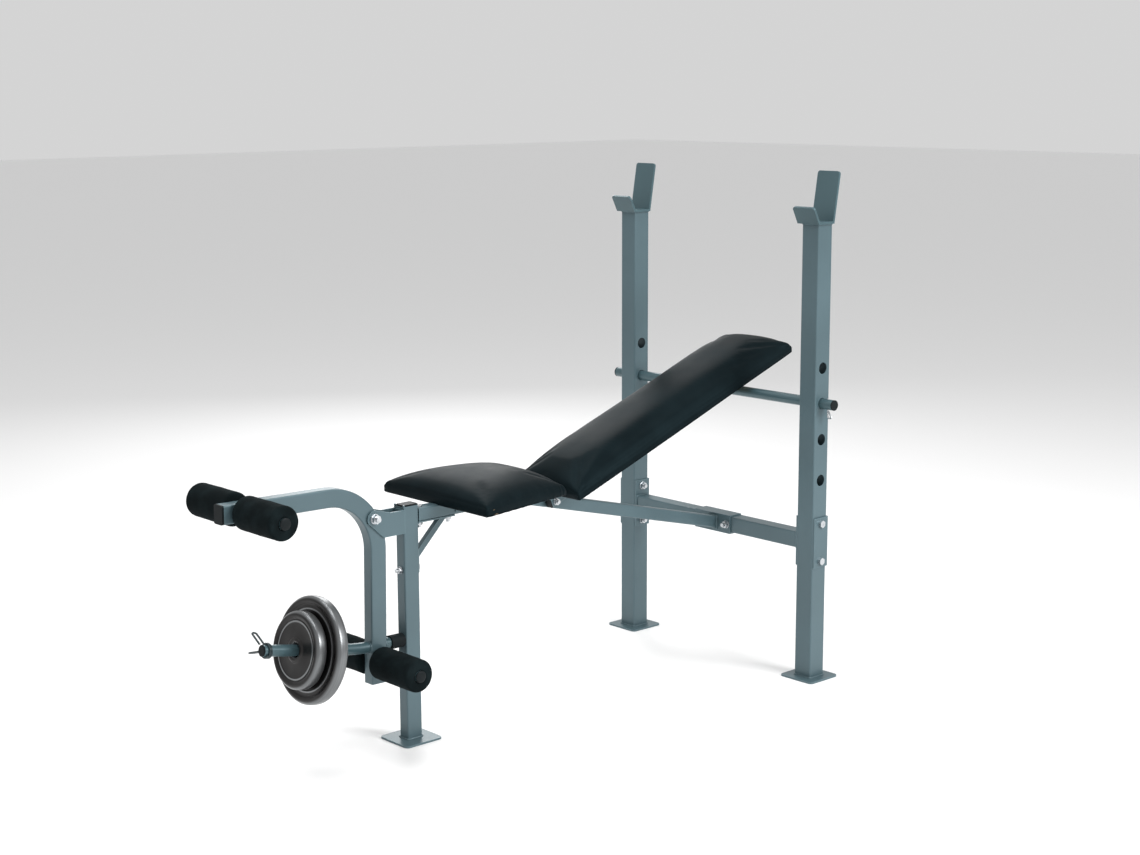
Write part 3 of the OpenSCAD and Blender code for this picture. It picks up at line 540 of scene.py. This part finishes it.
def pad_blank(plan, height, grid, place, low_y, high_y):
    """A closed pillow: a grid shaped by two functions of (u, w), each from -1 to 1."""
    bm = bmesh.new()
    bmesh.ops.create_grid(bm, x_segments=grid[0], y_segments=grid[1], size=1.0)
    grown = bmesh.ops.extrude_face_region(bm, geom=bm.faces[:])["geom"]
    tops = {v for v in grown if isinstance(v, bmesh.types.BMVert)}
    for v in bm.verts:
        u, w, _ = v.co
        x, y = plan(u, w)
        v.co = (x, low_y + (high_y - low_y) * (y + 1) / 2, height(u, w) if v in tops else under(u, w))
    bmesh.ops.recalc_face_normals(bm, faces=bm.faces)
    bmesh.ops.transform(bm, matrix=place, verts=bm.verts)
    return bm


def applied(mesh, kind, **changes):
    """A mesh with one modifier run on it."""
    holder = staged("holder", mesh)
    modifier = holder.modifiers.new("Modifier", kind)
    for name, value in changes.items():
        setattr(modifier, name, value)
    return evaluated(holder)


def remeshed(bm, voxel):
    """The same solid with an even skin of small quads."""
    return applied(as_mesh(bm, "blank"), "REMESH", mode="VOXEL", voxel_size=voxel)


def finer(mesh):
    """The same skin after one level of subdivision."""
    return applied(mesh, "SUBSURF", levels=1, render_levels=1)


def swollen(mesh, place, held_below, cap):
    """Blows a pad up with cloth pressure, holds its underside and caps how far a point moves."""
    pads = settings("bench_pads")
    scene = bpy.context.scene
    pad = staged("swelling", mesh)
    back = place.inverted()
    held = [v.index for v in mesh.vertices if (back @ v.co).z < held_below]
    group = pad.vertex_groups.new(name="held")
    group.add(held, 1.0, "REPLACE")
    start = [v.co.copy() for v in mesh.vertices]
    cloth = pad.modifiers.new("Cloth", "CLOTH")
    cloth.settings.quality = 4
    cloth.settings.mass = 0.25
    cloth.settings.use_pressure = True
    cloth.settings.uniform_pressure_force = pads.pressure
    cloth.settings.effector_weights.gravity = 0
    cloth.settings.vertex_group_mass = group.name
    cloth.point_cache.frame_start = 1
    cloth.point_cache.frame_end = pads.frames
    for step in range(1, pads.frames + 1):
        scene.frame_set(step)
    puffed = bpy.data.meshes.new_from_object(pad.evaluated_get(bpy.context.evaluated_depsgraph_get()))
    bpy.data.objects.remove(pad)
    for v, before in zip(puffed.vertices, start):
        move = v.co - before
        if move.length > cap:
            v.co = before + move * (cap / move.length)
    scene.frame_set(1)
    return puffed


def settled(mesh, place, passes):
    """Evens out the skin above the board, as stretched vinyl does."""
    bm = bmesh.new()
    bm.from_mesh(mesh)
    back = place.inverted()
    free = [v for v in bm.verts if (back @ v.co).z > settings("bench_pads").held]
    for _ in range(passes):
        bmesh.ops.smooth_vert(bm, verts=free, factor=0.5, use_axis_x=True, use_axis_y=True, use_axis_z=True)
    bm.to_mesh(mesh)
    bm.free()
    return mesh


def padded_skin(bm, place, cap):
    """Blank to finished skin: remesh, swell, settle and subdivide."""
    pads = settings("bench_pads")
    mesh = remeshed(bm, pads.voxel)
    mesh = swollen(mesh, place, pads.held, cap)
    return finer(settled(mesh, place, 4))


def bell(x, width):
    """1 where x is 0, and falling off smoothly over a width."""
    return math.exp(-(x / width) ** 2)


def crease(mesh, place, depth_at):
    """Presses lines into a skin: depth_at gives the depth at a point of the pad's own frame."""
    back = place.inverted()
    normals = [v.normal.copy() for v in mesh.vertices]
    for v, normal in zip(mesh.vertices, normals):
        v.co -= normal * depth_at(back @ v.co, back.to_3x3() @ normal)
    return mesh


class SeatShape:
    """Sizes of the seat pad, read from its board and foam."""

    def __init__(self):
        pads = settings("bench_pads")
        board_low = span("seat_board")[0]
        low, high, _ = span("seat_cushion")
        self.low_y, self.high_y = low.y, high.y
        self.crown = high.z - board_low.z
        self.front = high.x
        points = [v.co for v in NODES["seat_cushion"].data.vertices]
        self.rear = max(p.x for p in points if p.y > high.y - 20 * MM)
        self.edge = pads.seat_edge
        self.rise = pads.seat_rise
        self.place = Matrix.Translation((0, 0, board_low.z))

    def half_at(self, w):
        """Half width along the seat, w from -1 in front to 1 behind."""
        return self.front + (self.rear - self.front) * (w + 1) / 2

    def plan(self, u, w):
        corner = 0.002 * abs(u * w) ** 8
        return u * (self.half_at(w) + MM) * (1 - corner), w * (1.006 - corner)

    def height(self, u, w):
        """A full crown over a low rim that rises between the corners."""
        dome = ((1 - abs(u) ** 2.8) * (1 - abs(w) ** 2.6)) ** 0.56
        edge = self.edge + self.rise * (1 - (u * w) ** 2)
        return edge + (self.crown - edge - 2 * MM) * dome


def build_seat_pad():
    """Seat pad: a crowned vinyl pillow wrapped round its board."""
    shape = SeatShape()
    blank = pad_blank(shape.plan, shape.height, (46, 36), shape.place, shape.low_y, shape.high_y)
    skin = padded_skin(blank, shape.place, settings("bench_pads").seat_cap)
    length = shape.high_y - shape.low_y

    def depth(p, normal):
        """A fold round the side, a lip over it, and pleats and strain lines at the corners."""
        w = 2 * (p.y - shape.low_y) / length - 1
        reach = abs(p.x) / max(shape.half_at(max(-1.0, min(1.0, w))), 1e-6)
        steep = max(0.0, 1 - abs(normal.z) * 1.25)
        fold_z = 17 * MM + 4.5 * MM * (1 - min(1.0, reach * abs(w)) ** 2)
        fold = 1.7 * MM * bell(p.z - fold_z, 3.0 * MM) * steep
        lip = -0.9 * MM * bell(p.z - fold_z - 6.5 * MM, 4.0 * MM) * steep
        corner = max(0.0, min(1.0, (reach * abs(w) - 0.80) / 0.2))
        end_y = shape.low_y if w < 0 else shape.high_y
        bearing = math.atan2(p.y - end_y, abs(p.x) - shape.front)
        pleat = 1.15 * MM * math.sin(bearing * 26.0) * corner * bell(p.z - 13 * MM, 12 * MM)
        strain = 0.35 * MM * math.sin(p.x * 240 + p.y * 90) * corner
        return fold + lip + pleat + strain

    piece = new_piece("seat_pad", crease(skin, shape.place, depth), "vinyl", "frame", ["seat_cushion"])
    return piece


class BackShape:
    """Sizes of the backrest pad in the backrest's own frame."""

    def __init__(self):
        hinge_place = back_place()
        board_low = local_box("back_board", hinge_place)[0]
        low, high = local_box("back_cushion", hinge_place)
        self.low_y, self.high_y = low.y, high.y
        self.half = high.x
        self.crown = high.z - board_low.z
        self.place = hinge_place @ Matrix.Translation((0, 0, board_low.z))

    def plan(self, u, w):
        corner = 0.012 * abs(u * w) ** 14
        return u * (self.half + 1.5 * MM) * (1 - corner), w * (1.003 - corner * 0.28)

    def height(self, u, w):
        """A crown that is round across and nearly level along, with soft ends."""
        dome = ((1 - abs(u) ** 2.9) ** 0.52) * ((1 - abs(w) ** 8.0) ** 0.55)
        edge = 21 * MM + 5 * MM * (1 - (u * w) ** 2)
        return edge + (self.crown - edge - 2 * MM) * dome


def build_back_pad():
    """Backrest pad: a long vinyl pillow with pillow corners and a fold along its lower edge."""
    shape = BackShape()
    blank = pad_blank(shape.plan, shape.height, (30, 96), shape.place, shape.low_y, shape.high_y)
    skin = padded_skin(blank, shape.place, settings("bench_pads").back_cap)
    middle = (shape.low_y + shape.high_y) / 2
    half_len = (shape.high_y - shape.low_y) / 2

    def depth(p, normal):
        """A fold that wanders along the side, a lip over it, and pleats at the corners."""
        w = (p.y - middle) / half_len
        reach = abs(p.x) / shape.half
        steep = max(0.0, 1 - abs(normal.z) * 1.25)
        fold_z = 18 * MM + 1.2 * MM * math.sin(p.y * 21)
        fold = 1.5 * MM * bell(p.z - fold_z, 2.8 * MM) * steep
        lip = -0.8 * MM * bell(p.z - fold_z - 6 * MM, 4 * MM) * steep
        corner = max(0.0, min(1.0, (reach * abs(w) - 0.86) / 0.14))
        bearing = math.atan2(p.y - math.copysign(half_len, w) - middle, abs(p.x) - shape.half)
        pleat = 0.9 * MM * math.sin(bearing * 22.0) * corner * bell(p.z - 14 * MM, 12 * MM)
        return fold + lip + pleat

    piece = new_piece("backrest_pad", crease(skin, shape.place, depth), "vinyl", "backrest", ["back_cushion"])
    return piece


def hem_ring(plan, low_y, high_y, place, width, thickness):
    """The cover's turned-under edge: a flat vinyl band stapled to the board's underside."""
    lines = 34
    bm = bmesh.new()
    bmesh.ops.create_grid(bm, x_segments=lines, y_segments=lines, size=1.0)
    inner = [face for face in bm.faces if not any(v.is_boundary for v in face.verts)]
    bmesh.ops.delete(bm, geom=inner, context="FACES")
    half_x, half_y = plan(1, 0)[0], (high_y - low_y) / 2
    inner_line = 1 - 2 / lines

    def drawn_in(t, half):
        """Moves the band's inner outline to its width from the edge, and leaves the edge."""
        return t if abs(t) > 0.99 else t * (1 - width / half) / inner_line

    for v in bm.verts:
        x, y = plan(drawn_in(v.co.x, half_x), drawn_in(v.co.y, half_y))
        v.co = (x, low_y + (high_y - low_y) * (y + 1) / 2, 0)
        v.co.z = 0.35 * MM * math.sin(v.co.x * 310 + v.co.y * 270)
    bmesh.ops.recalc_face_normals(bm, faces=bm.faces)
    bmesh.ops.solidify(bm, geom=bm.faces[:], thickness=thickness)
    bmesh.ops.recalc_face_normals(bm, faces=bm.faces)
    bmesh.ops.transform(bm, matrix=place, verts=bm.verts)
    return bm


def staple(place):
    """One wire staple crown, a bevelled bar a little sunk in the vinyl."""
    bm = bmesh.new()
    bmesh.ops.create_cube(bm, size=1.0)
    bmesh.ops.scale(bm, vec=(10 * MM, 1.2 * MM, 0.8 * MM), verts=bm.verts)
    bmesh.ops.bevel(bm, geom=bm.edges[:], offset=0.25 * MM, affect="EDGES", segments=1, profile=0.5,
                    material=-1)
    bmesh.ops.transform(bm, matrix=place, verts=bm.verts)
    return bm


def staple_row(plan, low_y, high_y, place, inset, spacing):
    """Staples along the four sides of a hem, each turned along its side."""
    def spot(u, w):
        x, y = plan(u, w)
        return Vector((x, low_y + (high_y - low_y) * (y + 1) / 2, 0))

    parts = []
    corners = [(-1, -1), (1, -1), (1, 1), (-1, 1)]
    for start, end in zip(corners, corners[1:] + corners[:1]):
        length = (spot(*end) - spot(*start)).length
        count = int(length / spacing)
        for i in range(1, count):
            t = i / count
            u, w = [a + (b - a) * t for a, b in zip(start, end)]
            here = spot(u, w)
            ahead = spot(*[a + (b - a) * (t + 0.01) for a, b in zip(start, end)])
            way = (ahead - here).normalized()
            inward = Vector((-way.y, way.x, 0))
            turn = Matrix.Rotation(math.atan2(way.y, way.x) + 0.22 * math.sin(i * 5.3), 4, "Z")
            parts.append(staple(place @ Matrix.Translation(here + inward * inset) @ turn))
    return joined(parts)


def build_hems():
    """Turned-under covers and their staples, under the seat and behind the backrest."""
    trim, hem_z, staple_z, from_edge = 6 * MM, -0.8 * MM, -2.9 * MM, 13 * MM
    for name, shape, body in (("seat", SeatShape(), "frame"), ("backrest", BackShape(), "backrest")):
        low, high = shape.low_y + trim, shape.high_y - trim
        below = shape.place @ Matrix.Translation((0, 0, hem_z))
        ring = hem_ring(shape.plan, low, high, below, 26 * MM, 1.1 * MM)
        shade_by_angle(new_piece(name + "_hem", ring, "vinyl", body), 50)
        spots = shape.place @ Matrix.Translation((0, 0, staple_z))
        row = staple_row(shape.plan, low, high, spots, from_edge, 24 * MM)
        new_piece(name + "_staples", row, "zinc", body, smooth=False)


# ---- rollers ----

def build_rollers():
    """Four foam rollers with soft rounded ends and a slightly uneven skin."""
    for level in ("upper", "lower"):
        for side, sign in (("left", -1), ("right", 1)):
            node = f"{level}_{side}_roller"
            low, high, _ = span(node)
            axis_point = joint_place(f"{level}_{side}_spin")
            radius, length = (high.z - low.z) / 2, high.x - low.x
            inner = low.x if sign > 0 else high.x
            bore, lip, shoulder = 12.7 * MM, 3 * MM, radius - 16 * MM
            outline = [(bore, 0.5 * MM), (bore + lip, 0), (shoulder, 0), (radius, 0.6 * MM),
                       (radius, length / 3), (radius + 0.4 * MM, length / 2), (radius, length * 2 / 3),
                       (radius, length - 0.6 * MM), (shoulder, length), (bore + lip, length),
                       (bore, length - 0.5 * MM)]
            soft = rounded(outline, 15 * MM, 8)
            place = axis_place(Vector((inner, axis_point.y, axis_point.z)), (sign, 0, 0))
            bm = turned(soft, place, 72)
            long_edges = [edge for edge in bm.edges if edge.calc_length() > 12 * MM]
            bmesh.ops.subdivide_edges(bm, edges=long_edges, cuts=5, use_grid_fill=True)
            piece = new_piece(f"{level}_{side}_foam", bm, "roller_foam", node, [node])
            uneven(piece, 0.28 * MM, sign * 3.1 + (level == "upper") * 1.7)


def uneven(piece, amount, phase):
    """Small hollows and swells, as foam has."""
    bm = bmesh.new()
    bm.from_mesh(piece.data)
    bm.normal_update()
    for v in bm.verts:
        x, y, z = v.co
        wave = math.sin(x * 92 + phase) * math.sin(y * 71 + z * 55 + phase * 2) + 0.5 * math.sin(x * 210 - z * 160)
        v.co += v.normal * amount * (wave - 1.0) * 0.5
    bm.to_mesh(piece.data)
    bm.free()


def build_roller_domes():
    """Push-in domes that close the roller tubes, one on each end."""
    parts = []
    for level in ("upper", "lower"):
        centre = joint_place(f"{level}_left_spin")
        for sign in (-1, 1):
            low, high, _ = span(f"{level}_roller_tube")
            start = Vector((high.x if sign > 0 else low.x, centre.y, centre.z))
            head, rim, rise = 12.9 * MM, 1.6 * MM, 4.0 * MM
            plug, sunk = 9 * MM, -10 * MM
            outline = [(0, sunk), (plug, sunk), (plug, 0), (head, 0), (head, rim)]
            for angle in range(8, 90, 9):
                a = math.radians(angle)
                outline.append((head * math.cos(a), rim + (rise - rim) * math.sin(a)))
            parts.append(turned(outline + [(0, rise)], axis_place(start, (sign, 0, 0)), 40))
    piece = new_piece("roller_end_domes", joined(parts), "cap_plastic", "lever", ["roller_caps"])
    shade_by_angle(piece, 40)


# ---- plates, horn, collar and hitch pin ----

HORN_R = 12.5 * MM


def plate_sizes(node):
    """Centre, radius and thickness of a plate that stands square to the horn."""
    low, high = local_box(node, horn_place())
    return horn_place() @ ((low + high) / 2), (high.x - low.x) / 2, high.z - low.z


def plate_outline(radius, thick, groove):
    """Half section of a cast plate, front face at +thick/2: hub ring, groove, round rim."""
    bore, hub, rim = 14 * MM, 25 * MM, 15 * MM
    half = thick / 2
    face = half - 4.2 * MM
    front = [(bore, half - 5.5 * MM), (hub - 7 * MM, half - MM), (hub - 4 * MM, half), (hub, half - MM),
             (hub + 2.5 * MM, face), (groove - 3 * MM, face), (groove - 1.6 * MM, face + 1.3 * MM),
             (groove + 1.6 * MM, face + 1.3 * MM), (groove + 3 * MM, face), (radius - rim - 3 * MM, face),
             (radius - rim, half - 1.5 * MM), (radius - rim + 5 * MM, half), (radius - 6 * MM, half - 0.8 * MM),
             (radius - 0.6 * MM, half - 6 * MM), (radius, half - 11 * MM)]
    back = [(r, -h) for r, h in reversed(front)]
    return rounded(front + back, 3.2 * MM, 3)


def build_plates():
    """The two weight plates, cast with a hub ring, a face groove and a round rim."""
    for node, groove_share in (("large_plate", 0.76), ("small_plate", 0.735)):
        centre, radius, thick = plate_sizes(node)
        groove = radius * groove_share
        bm = turned(plate_outline(radius, thick, groove), axis_place(centre, HORN_AXIS), 144)
        iron = plate_iron(node + "_iron", settings("bench_finishes").iron, centre, radius, groove)
        piece = new_piece(node + "_casting", bm, "plate_iron", node, [node], material=iron)
        shade_by_angle(piece, 42)


def horn_line():
    """Points down the horn's middle: rear stub, bend, tilted end."""
    place = horn_place()
    lean, stub, bend, plug_rim = math.radians(1), 10 * MM, 34 * MM, 3 * MM
    centre = plate_sizes("small_plate")[0]
    end = local_box("horn_plug", place)[1].z - plug_rim
    tip = centre + HORN_AXIS * ((place @ Vector((0, 0, end)) - centre).dot(HORN_AXIS))
    bumper = span("bumper")[2]
    bumper.x = 0
    flat = Vector((0, -math.cos(lean), math.sin(lean)))
    gap = centre - bumper
    cross = flat.y * HORN_AXIS.z - flat.z * HORN_AXIS.y
    corner = bumper + flat * ((gap.y * HORN_AXIS.z - gap.z * HORN_AXIS.y) / cross)
    curve = arc(corner - flat * bend, corner, corner + HORN_AXIS * bend, 12)
    return [bumper - flat * stub] + curve + [tip]


def build_horn():
    """The plate horn: one bent tube with a stop ring, running into its end plug."""
    line = horn_line()
    radius = HORN_R
    tube = gathered([tube_mesh([even_run(line)], radius, 10)])
    centre, _, thick = plate_sizes("large_plate")
    stop = centre - HORN_AXIS * (thick / 2 + 2.3 * MM)
    ring_r, half = 19 * MM, 2 * MM
    outline = [(radius - MM, -half), (ring_r, -half), (ring_r + 0.4 * MM, 0), (ring_r, half), (radius - MM, half)]
    ring = turned(rounded(outline, 0.8 * MM, 3), axis_place(stop, HORN_AXIS), 48)
    piece = new_piece("horn_tube", joined([tube, ring]), "bar_paint", "lever", ["plate_horn"])
    shade_by_angle(piece, 40)


def build_collar():
    """Spring collar: two and a half turns of wire whose ends run out into hairpin handles."""
    place = horn_place()
    wire, turns, pitch = 2.2 * MM, 2.5, 3.9 * MM
    coil_r = HORN_R + wire
    end = place.inverted() @ horn_line()[-1]
    base = Vector((end.x, end.y, local_box("spring_collar", place)[0].z + wire))

    def at(radius, angle, height):
        return place @ (base + Vector((radius * math.cos(angle), radius * math.sin(angle), height)))

    first, last = math.radians(154), math.radians(197)
    steps = 96
    sweep, rise = turns * math.tau, turns * pitch
    coil = [at(coil_r, first + sweep * i / steps, rise * i / steps) for i in range(steps + 1)]
    runs = [even_run(coil)]
    for angle, height, way in ((first, 0.0, 1), (last, rise, -1)):
        runs.append(even_run(hairpin(at, coil_r, angle, height, way, 60 * MM)))
    piece = new_piece("collar_spring", tube_mesh(runs, wire, 4), "collar_wire", "spring_collar", ["spring_collar"])
    shade_by_angle(piece, 60)


def hairpin(at, coil_r, angle, height, way, reach):
    """A handle: out along the bearing, round a small bend and back to the coil."""
    loop = 5.5 * MM
    far = reach - loop
    out = [at(coil_r + (far - coil_r) * i / 6, angle, height) for i in range(7)]
    bend = [at(far + loop * math.sin(t), angle, height + way * loop * (1 - math.cos(t)))
            for t in [math.pi * i / 12 for i in range(1, 13)]]
    home = [at(far - (far - coil_r * 1.5) * i / 6, angle, height + way * loop * 2) for i in range(1, 7)]
    return out + bend + home


def build_hitch_pin():
    """Hitch pin: a straight shank through the bar and a wire loop that hangs below it."""
    low, high, _ = span("hitch_pin")
    bar_low, _, bar_mid = span("incline_bar")
    x, y = low.x + 2 * MM, bar_mid.y
    foot, top = low.z + 3 * MM, high.z
    side = high.x - low.x - 4 * MM
    hook_z = bar_low.z - 3.2 * MM
    corners = [(x, y, top), (x, y, foot), (x + side, y, foot), (x + 1.5 * MM, y, hook_z)]
    path = rounded(corners, 4.5 * MM, 8)
    mesh = tube_mesh([even_run(path)], 1.95 * MM, 4)
    piece = new_piece("hitch_wire", mesh, "zinc", "hitch_pin", ["hitch_pin"])
    shade_by_angle(piece, 60)


# ---- welds ----

def bead(points, radius, closed=False):
    """A weld bead: a lumpy run whose ripples follow the torch."""
    stops = along(points + ([points[0]] if closed else []), 1.5 * MM)
    if closed:
        stops = stops[:-1]
    ripple = 2 * math.pi / (4.2 * MM)
    run = []
    for place, gone in stops:
        share = 1 + 0.16 * math.sin(ripple * gone) + 0.08 * math.sin(gone * 410 + 1.3)
        run.append((place, share))
    return tube_mesh([run], radius, 2, closed)


def ring_points(place, wide, deep, corner=3 * MM):
    """A rectangle with cut corners round a tube, in the XY plane of a place."""
    x, y = wide / 2, deep / 2
    flat = [(x - corner, -y), (x, -y + corner), (x, y - corner), (x - corner, y),
            (-x + corner, y), (-x, y - corner), (-x, -y + corner), (-x + corner, -y)]
    return [place @ Vector((a, b, 0)) for a, b in flat]


def collar_bead(place, low, high, axes, grow, radius):
    """A bead all round a tube: its box gives the two sides, a little larger by grow."""
    wide, deep = [high[axis] - low[axis] + grow for axis in axes]
    return bead(ring_points(place, wide, deep), radius, True)


def frame_beads(fat, thin):
    """Beads at the feet, the hooks, the crossbar, the saddle, the shelf and the pivot bracket."""
    beads = []
    feet = (("left_upright", "left_foot"), ("right_upright", "right_foot"), ("front_post", "front_foot"))
    for post, foot in feet:
        low, high, middle = span(post)
        flat = Matrix.Translation((middle.x, middle.y, span(foot)[1].z + 0.6 * MM))
        beads.append(collar_bead(flat, low, high, (0, 1), 1.5 * MM, fat))
    for side in ("left", "right"):
        low, high, middle = span(side + "_upright")
        top = Matrix.Translation((middle.x, middle.y, high.z - 1.2 * MM))
        beads.append(collar_bead(top, low, high, (0, 1), 0.6 * MM, thin))
    low, high, middle = span("crossbar")
    for x in (low.x, high.x):
        end = Matrix.Translation((x - math.copysign(0.8 * MM, x), middle.y, middle.z))
        beads.append(collar_bead(end @ Matrix.Rotation(math.pi / 2, 4, "Y"), low, high, (2, 1), MM, fat))
    low, _, middle = span("saddle_bracket")
    half, rise, y = 15.3 * MM, 16 * MM, low.y - 0.6 * MM
    box = ((-half, -rise), (-half, rise), (half, rise), (half, -rise))
    beads.append(bead([Vector((x, y, middle.z + z)) for x, z in box], fat, True))
    post_low, post_high, _ = span("front_post")
    y, z = post_high.y + 0.7 * MM, span("beam_shelf")[0].z - 0.6 * MM
    beads.append(bead([Vector((x, y, z)) for x in (-13 * MM, 13 * MM)], fat))
    ear_low, ear_high, _ = span("pivot_bracket")
    for x in (post_low.x, post_high.x):
        x, y = x + math.copysign(0.5 * MM, x), post_low.y - 0.4 * MM
        beads.append(bead([Vector((x, y, z)) for z in (ear_low.z + 2 * MM, ear_high.z - 2 * MM)], fat))
    return beads


def lever_beads(thin):
    """Beads round the horn on both faces of the lever's leg."""
    line = horn_line()
    flat = (line[1] - line[0]).normalized()
    beads = []
    for offset in (-20.6 * MM, 20.6 * MM):
        along_horn = (lever_leg_y() + offset - line[0].y) / flat.y
        place = axis_place(line[0] + flat * along_horn, flat)
        turns = [math.tau * i / 28 for i in range(28)]
        circle = [place @ Vector((13 * MM * math.cos(a), 13 * MM * math.sin(a), 0)) for a in turns]
        beads.append(bead(circle, thin, True))
    return beads


def build_welds():
    """Weld beads where tubes and plates meet."""
    fat, thin = 2.3 * MM, 1.7 * MM
    new_piece("frame_welds", gathered(frame_beads(fat, thin)), "frame_paint", "frame")
    new_piece("lever_welds", gathered(lever_beads(thin)), "frame_paint", "lever")


def lever_leg_y():
    """Middle of the lever's upright leg along Y, at the horn's height."""
    height = span("bumper")[2].z
    near = [v.co.y for v in NODES["lever"].data.vertices if abs(v.co.z - height) < 60 * MM]
    return (min(near) + max(near)) / 2 if near else joint_place("lower_left_spin").y


# ---- finishes of the CAD parts, and the stage ----

def finish_cad_parts():
    """Gives every CAD node that stays in view its own finish."""
    slots = {row["node"]: row["material_slot"] for row in frame["record"]["subparts"]}
    for name, node in NODES.items():
        if slots[name] in FINISHES:
            node.data.materials.clear()
            node.data.materials.append(FINISHES[slots[name]])


def area_light(name, place, target, size, watts):
    lamp = bpy.data.lights.new(name, "AREA")
    lamp.shape = "RECTANGLE"
    lamp.size, lamp.size_y = size
    lamp.energy = watts
    light = staged(name, lamp)
    light.location = place
    light.rotation_euler = (Vector(target) - Vector(place)).to_track_quat("-Z", "Y").to_euler()


def build_stage():
    """Pale floor, soft studio lights and the camera."""
    scene = bpy.context.scene
    bm = bmesh.new()
    bmesh.ops.create_grid(bm, x_segments=1, y_segments=1, size=30.0)
    floor = staged("studio_floor", as_mesh(bm, "studio_floor"))
    f = Finish("floor_white")
    floor.data.materials.append(f.finish(Base_Color=(0.90, 0.90, 0.90, 1.0), Roughness=0.55 + f.noise(3.0) * 0.1))
    scene.world = bpy.data.worlds.new("studio")
    scene.world.use_nodes = True
    sky = scene.world.node_tree.nodes["Background"].inputs
    sky["Color"].default_value = (1.0, 1.0, 1.0, 1.0)
    sky["Strength"].default_value = 0.66
    scene.view_settings.view_transform = "Standard"
    aim = (0.0, 0.4, 0.5)
    area_light("key_light", (3.4, 1.4, 2.6), aim, (1.6, 1.6), 130)
    area_light("top_light", (-0.4, -0.2, 3.6), aim, (2.4, 2.4), 70)
    area_light("rim_light", (-3.0, 2.4, 2.2), aim, (1.2, 2.0), 30)
    view = settings("bench_stage")
    lens = bpy.data.cameras.new("camera")
    lens.lens = view.lens
    lens.sensor_width = 36.0
    lens.clip_end = 100.0
    camera = staged("camera", lens)
    turn = Euler((math.pi / 2 - view.drop, 0, view.heading)).to_matrix() @ Matrix.Rotation(view.roll, 3, "Z")
    camera.matrix_world = Matrix.Translation(view.eye) @ turn.to_4x4()
    scene.camera = camera


# ---- the add-on ----

class BENCH_OT_stage(bpy.types.Operator):
    """Add the floor, the lights and the camera"""

    bl_idname = "bench.stage"
    bl_label = "Stage"

    def execute(self, context):
        build_stage()
        return {"FINISHED"}


class BENCH_OT_finishes(bpy.types.Operator):
    """Mix the finishes and put them on the CAD parts"""

    bl_idname = "bench.finishes"
    bl_label = "Finishes"

    def execute(self, context):
        mix_finishes()
        finish_cad_parts()
        return {"FINISHED"}


class BENCH_OT_seat_pad(bpy.types.Operator):
    """Upholster the seat"""

    bl_idname = "bench.seat_pad"
    bl_label = "Seat Pad"

    def execute(self, context):
        build_seat_pad()
        return {"FINISHED"}


class BENCH_OT_back_pad(bpy.types.Operator):
    """Upholster the backrest"""

    bl_idname = "bench.back_pad"
    bl_label = "Backrest Pad"

    def execute(self, context):
        build_back_pad()
        return {"FINISHED"}


class BENCH_OT_hems(bpy.types.Operator):
    """Turn the covers under their boards and staple them"""

    bl_idname = "bench.hems"
    bl_label = "Hems and Staples"

    def execute(self, context):
        build_hems()
        return {"FINISHED"}


class BENCH_OT_rollers(bpy.types.Operator):
    """Make the foam rollers and the domes at their ends"""

    bl_idname = "bench.rollers"
    bl_label = "Foam Rollers"

    def execute(self, context):
        build_rollers()
        build_roller_domes()
        return {"FINISHED"}


class BENCH_OT_plates(bpy.types.Operator):
    """Cast the weight plates"""

    bl_idname = "bench.plates"
    bl_label = "Weight Plates"

    def execute(self, context):
        build_plates()
        return {"FINISHED"}


class BENCH_OT_horn(bpy.types.Operator):
    """Bend the plate horn"""

    bl_idname = "bench.horn"
    bl_label = "Plate Horn"

    def execute(self, context):
        build_horn()
        return {"FINISHED"}


class BENCH_OT_wires(bpy.types.Operator):
    """Wind the spring collar and bend the hitch pin"""

    bl_idname = "bench.wires"
    bl_label = "Collar and Hitch Pin"

    def execute(self, context):
        build_collar()
        build_hitch_pin()
        return {"FINISHED"}


class BENCH_OT_welds(bpy.types.Operator):
    """Lay the weld beads"""

    bl_idname = "bench.welds"
    bl_label = "Welds"

    def execute(self, context):
        build_welds()
        return {"FINISHED"}


OPERATORS = (BENCH_OT_stage, BENCH_OT_finishes, BENCH_OT_seat_pad, BENCH_OT_back_pad, BENCH_OT_hems,
             BENCH_OT_rollers, BENCH_OT_plates, BENCH_OT_horn, BENCH_OT_wires, BENCH_OT_welds)


class BENCH_PT_panel(bpy.types.Panel):
    """Lists the bench's pieces in the order in which they are made"""

    bl_idname = "BENCH_PT_panel"
    bl_label = "Weight Bench"
    bl_space_type = "VIEW_3D"
    bl_region_type = "UI"
    bl_category = "Bench"

    def draw(self, context):
        for operator in OPERATORS:
            self.layout.operator(operator.bl_idname)


GROUPS = {"bench_pads": BenchPads, "bench_finishes": BenchFinishes, "bench_stage": BenchStage}


def register():
    for kind in (*GROUPS.values(), *OPERATORS, BENCH_PT_panel):
        bpy.utils.register_class(kind)
    for name, kind in GROUPS.items():
        setattr(bpy.types.Scene, name, PointerProperty(type=kind))


def unregister():
    for name in GROUPS:
        delattr(bpy.types.Scene, name)
    for kind in (BENCH_PT_panel, *reversed(OPERATORS), *GROUPS.values()):
        bpy.utils.unregister_class(kind)


def main():
    register()
    for operator in OPERATORS:
        group, name = operator.bl_idname.split(".")
        getattr(getattr(bpy.ops, group), name)()


if __name__ == "__main__":
    main()
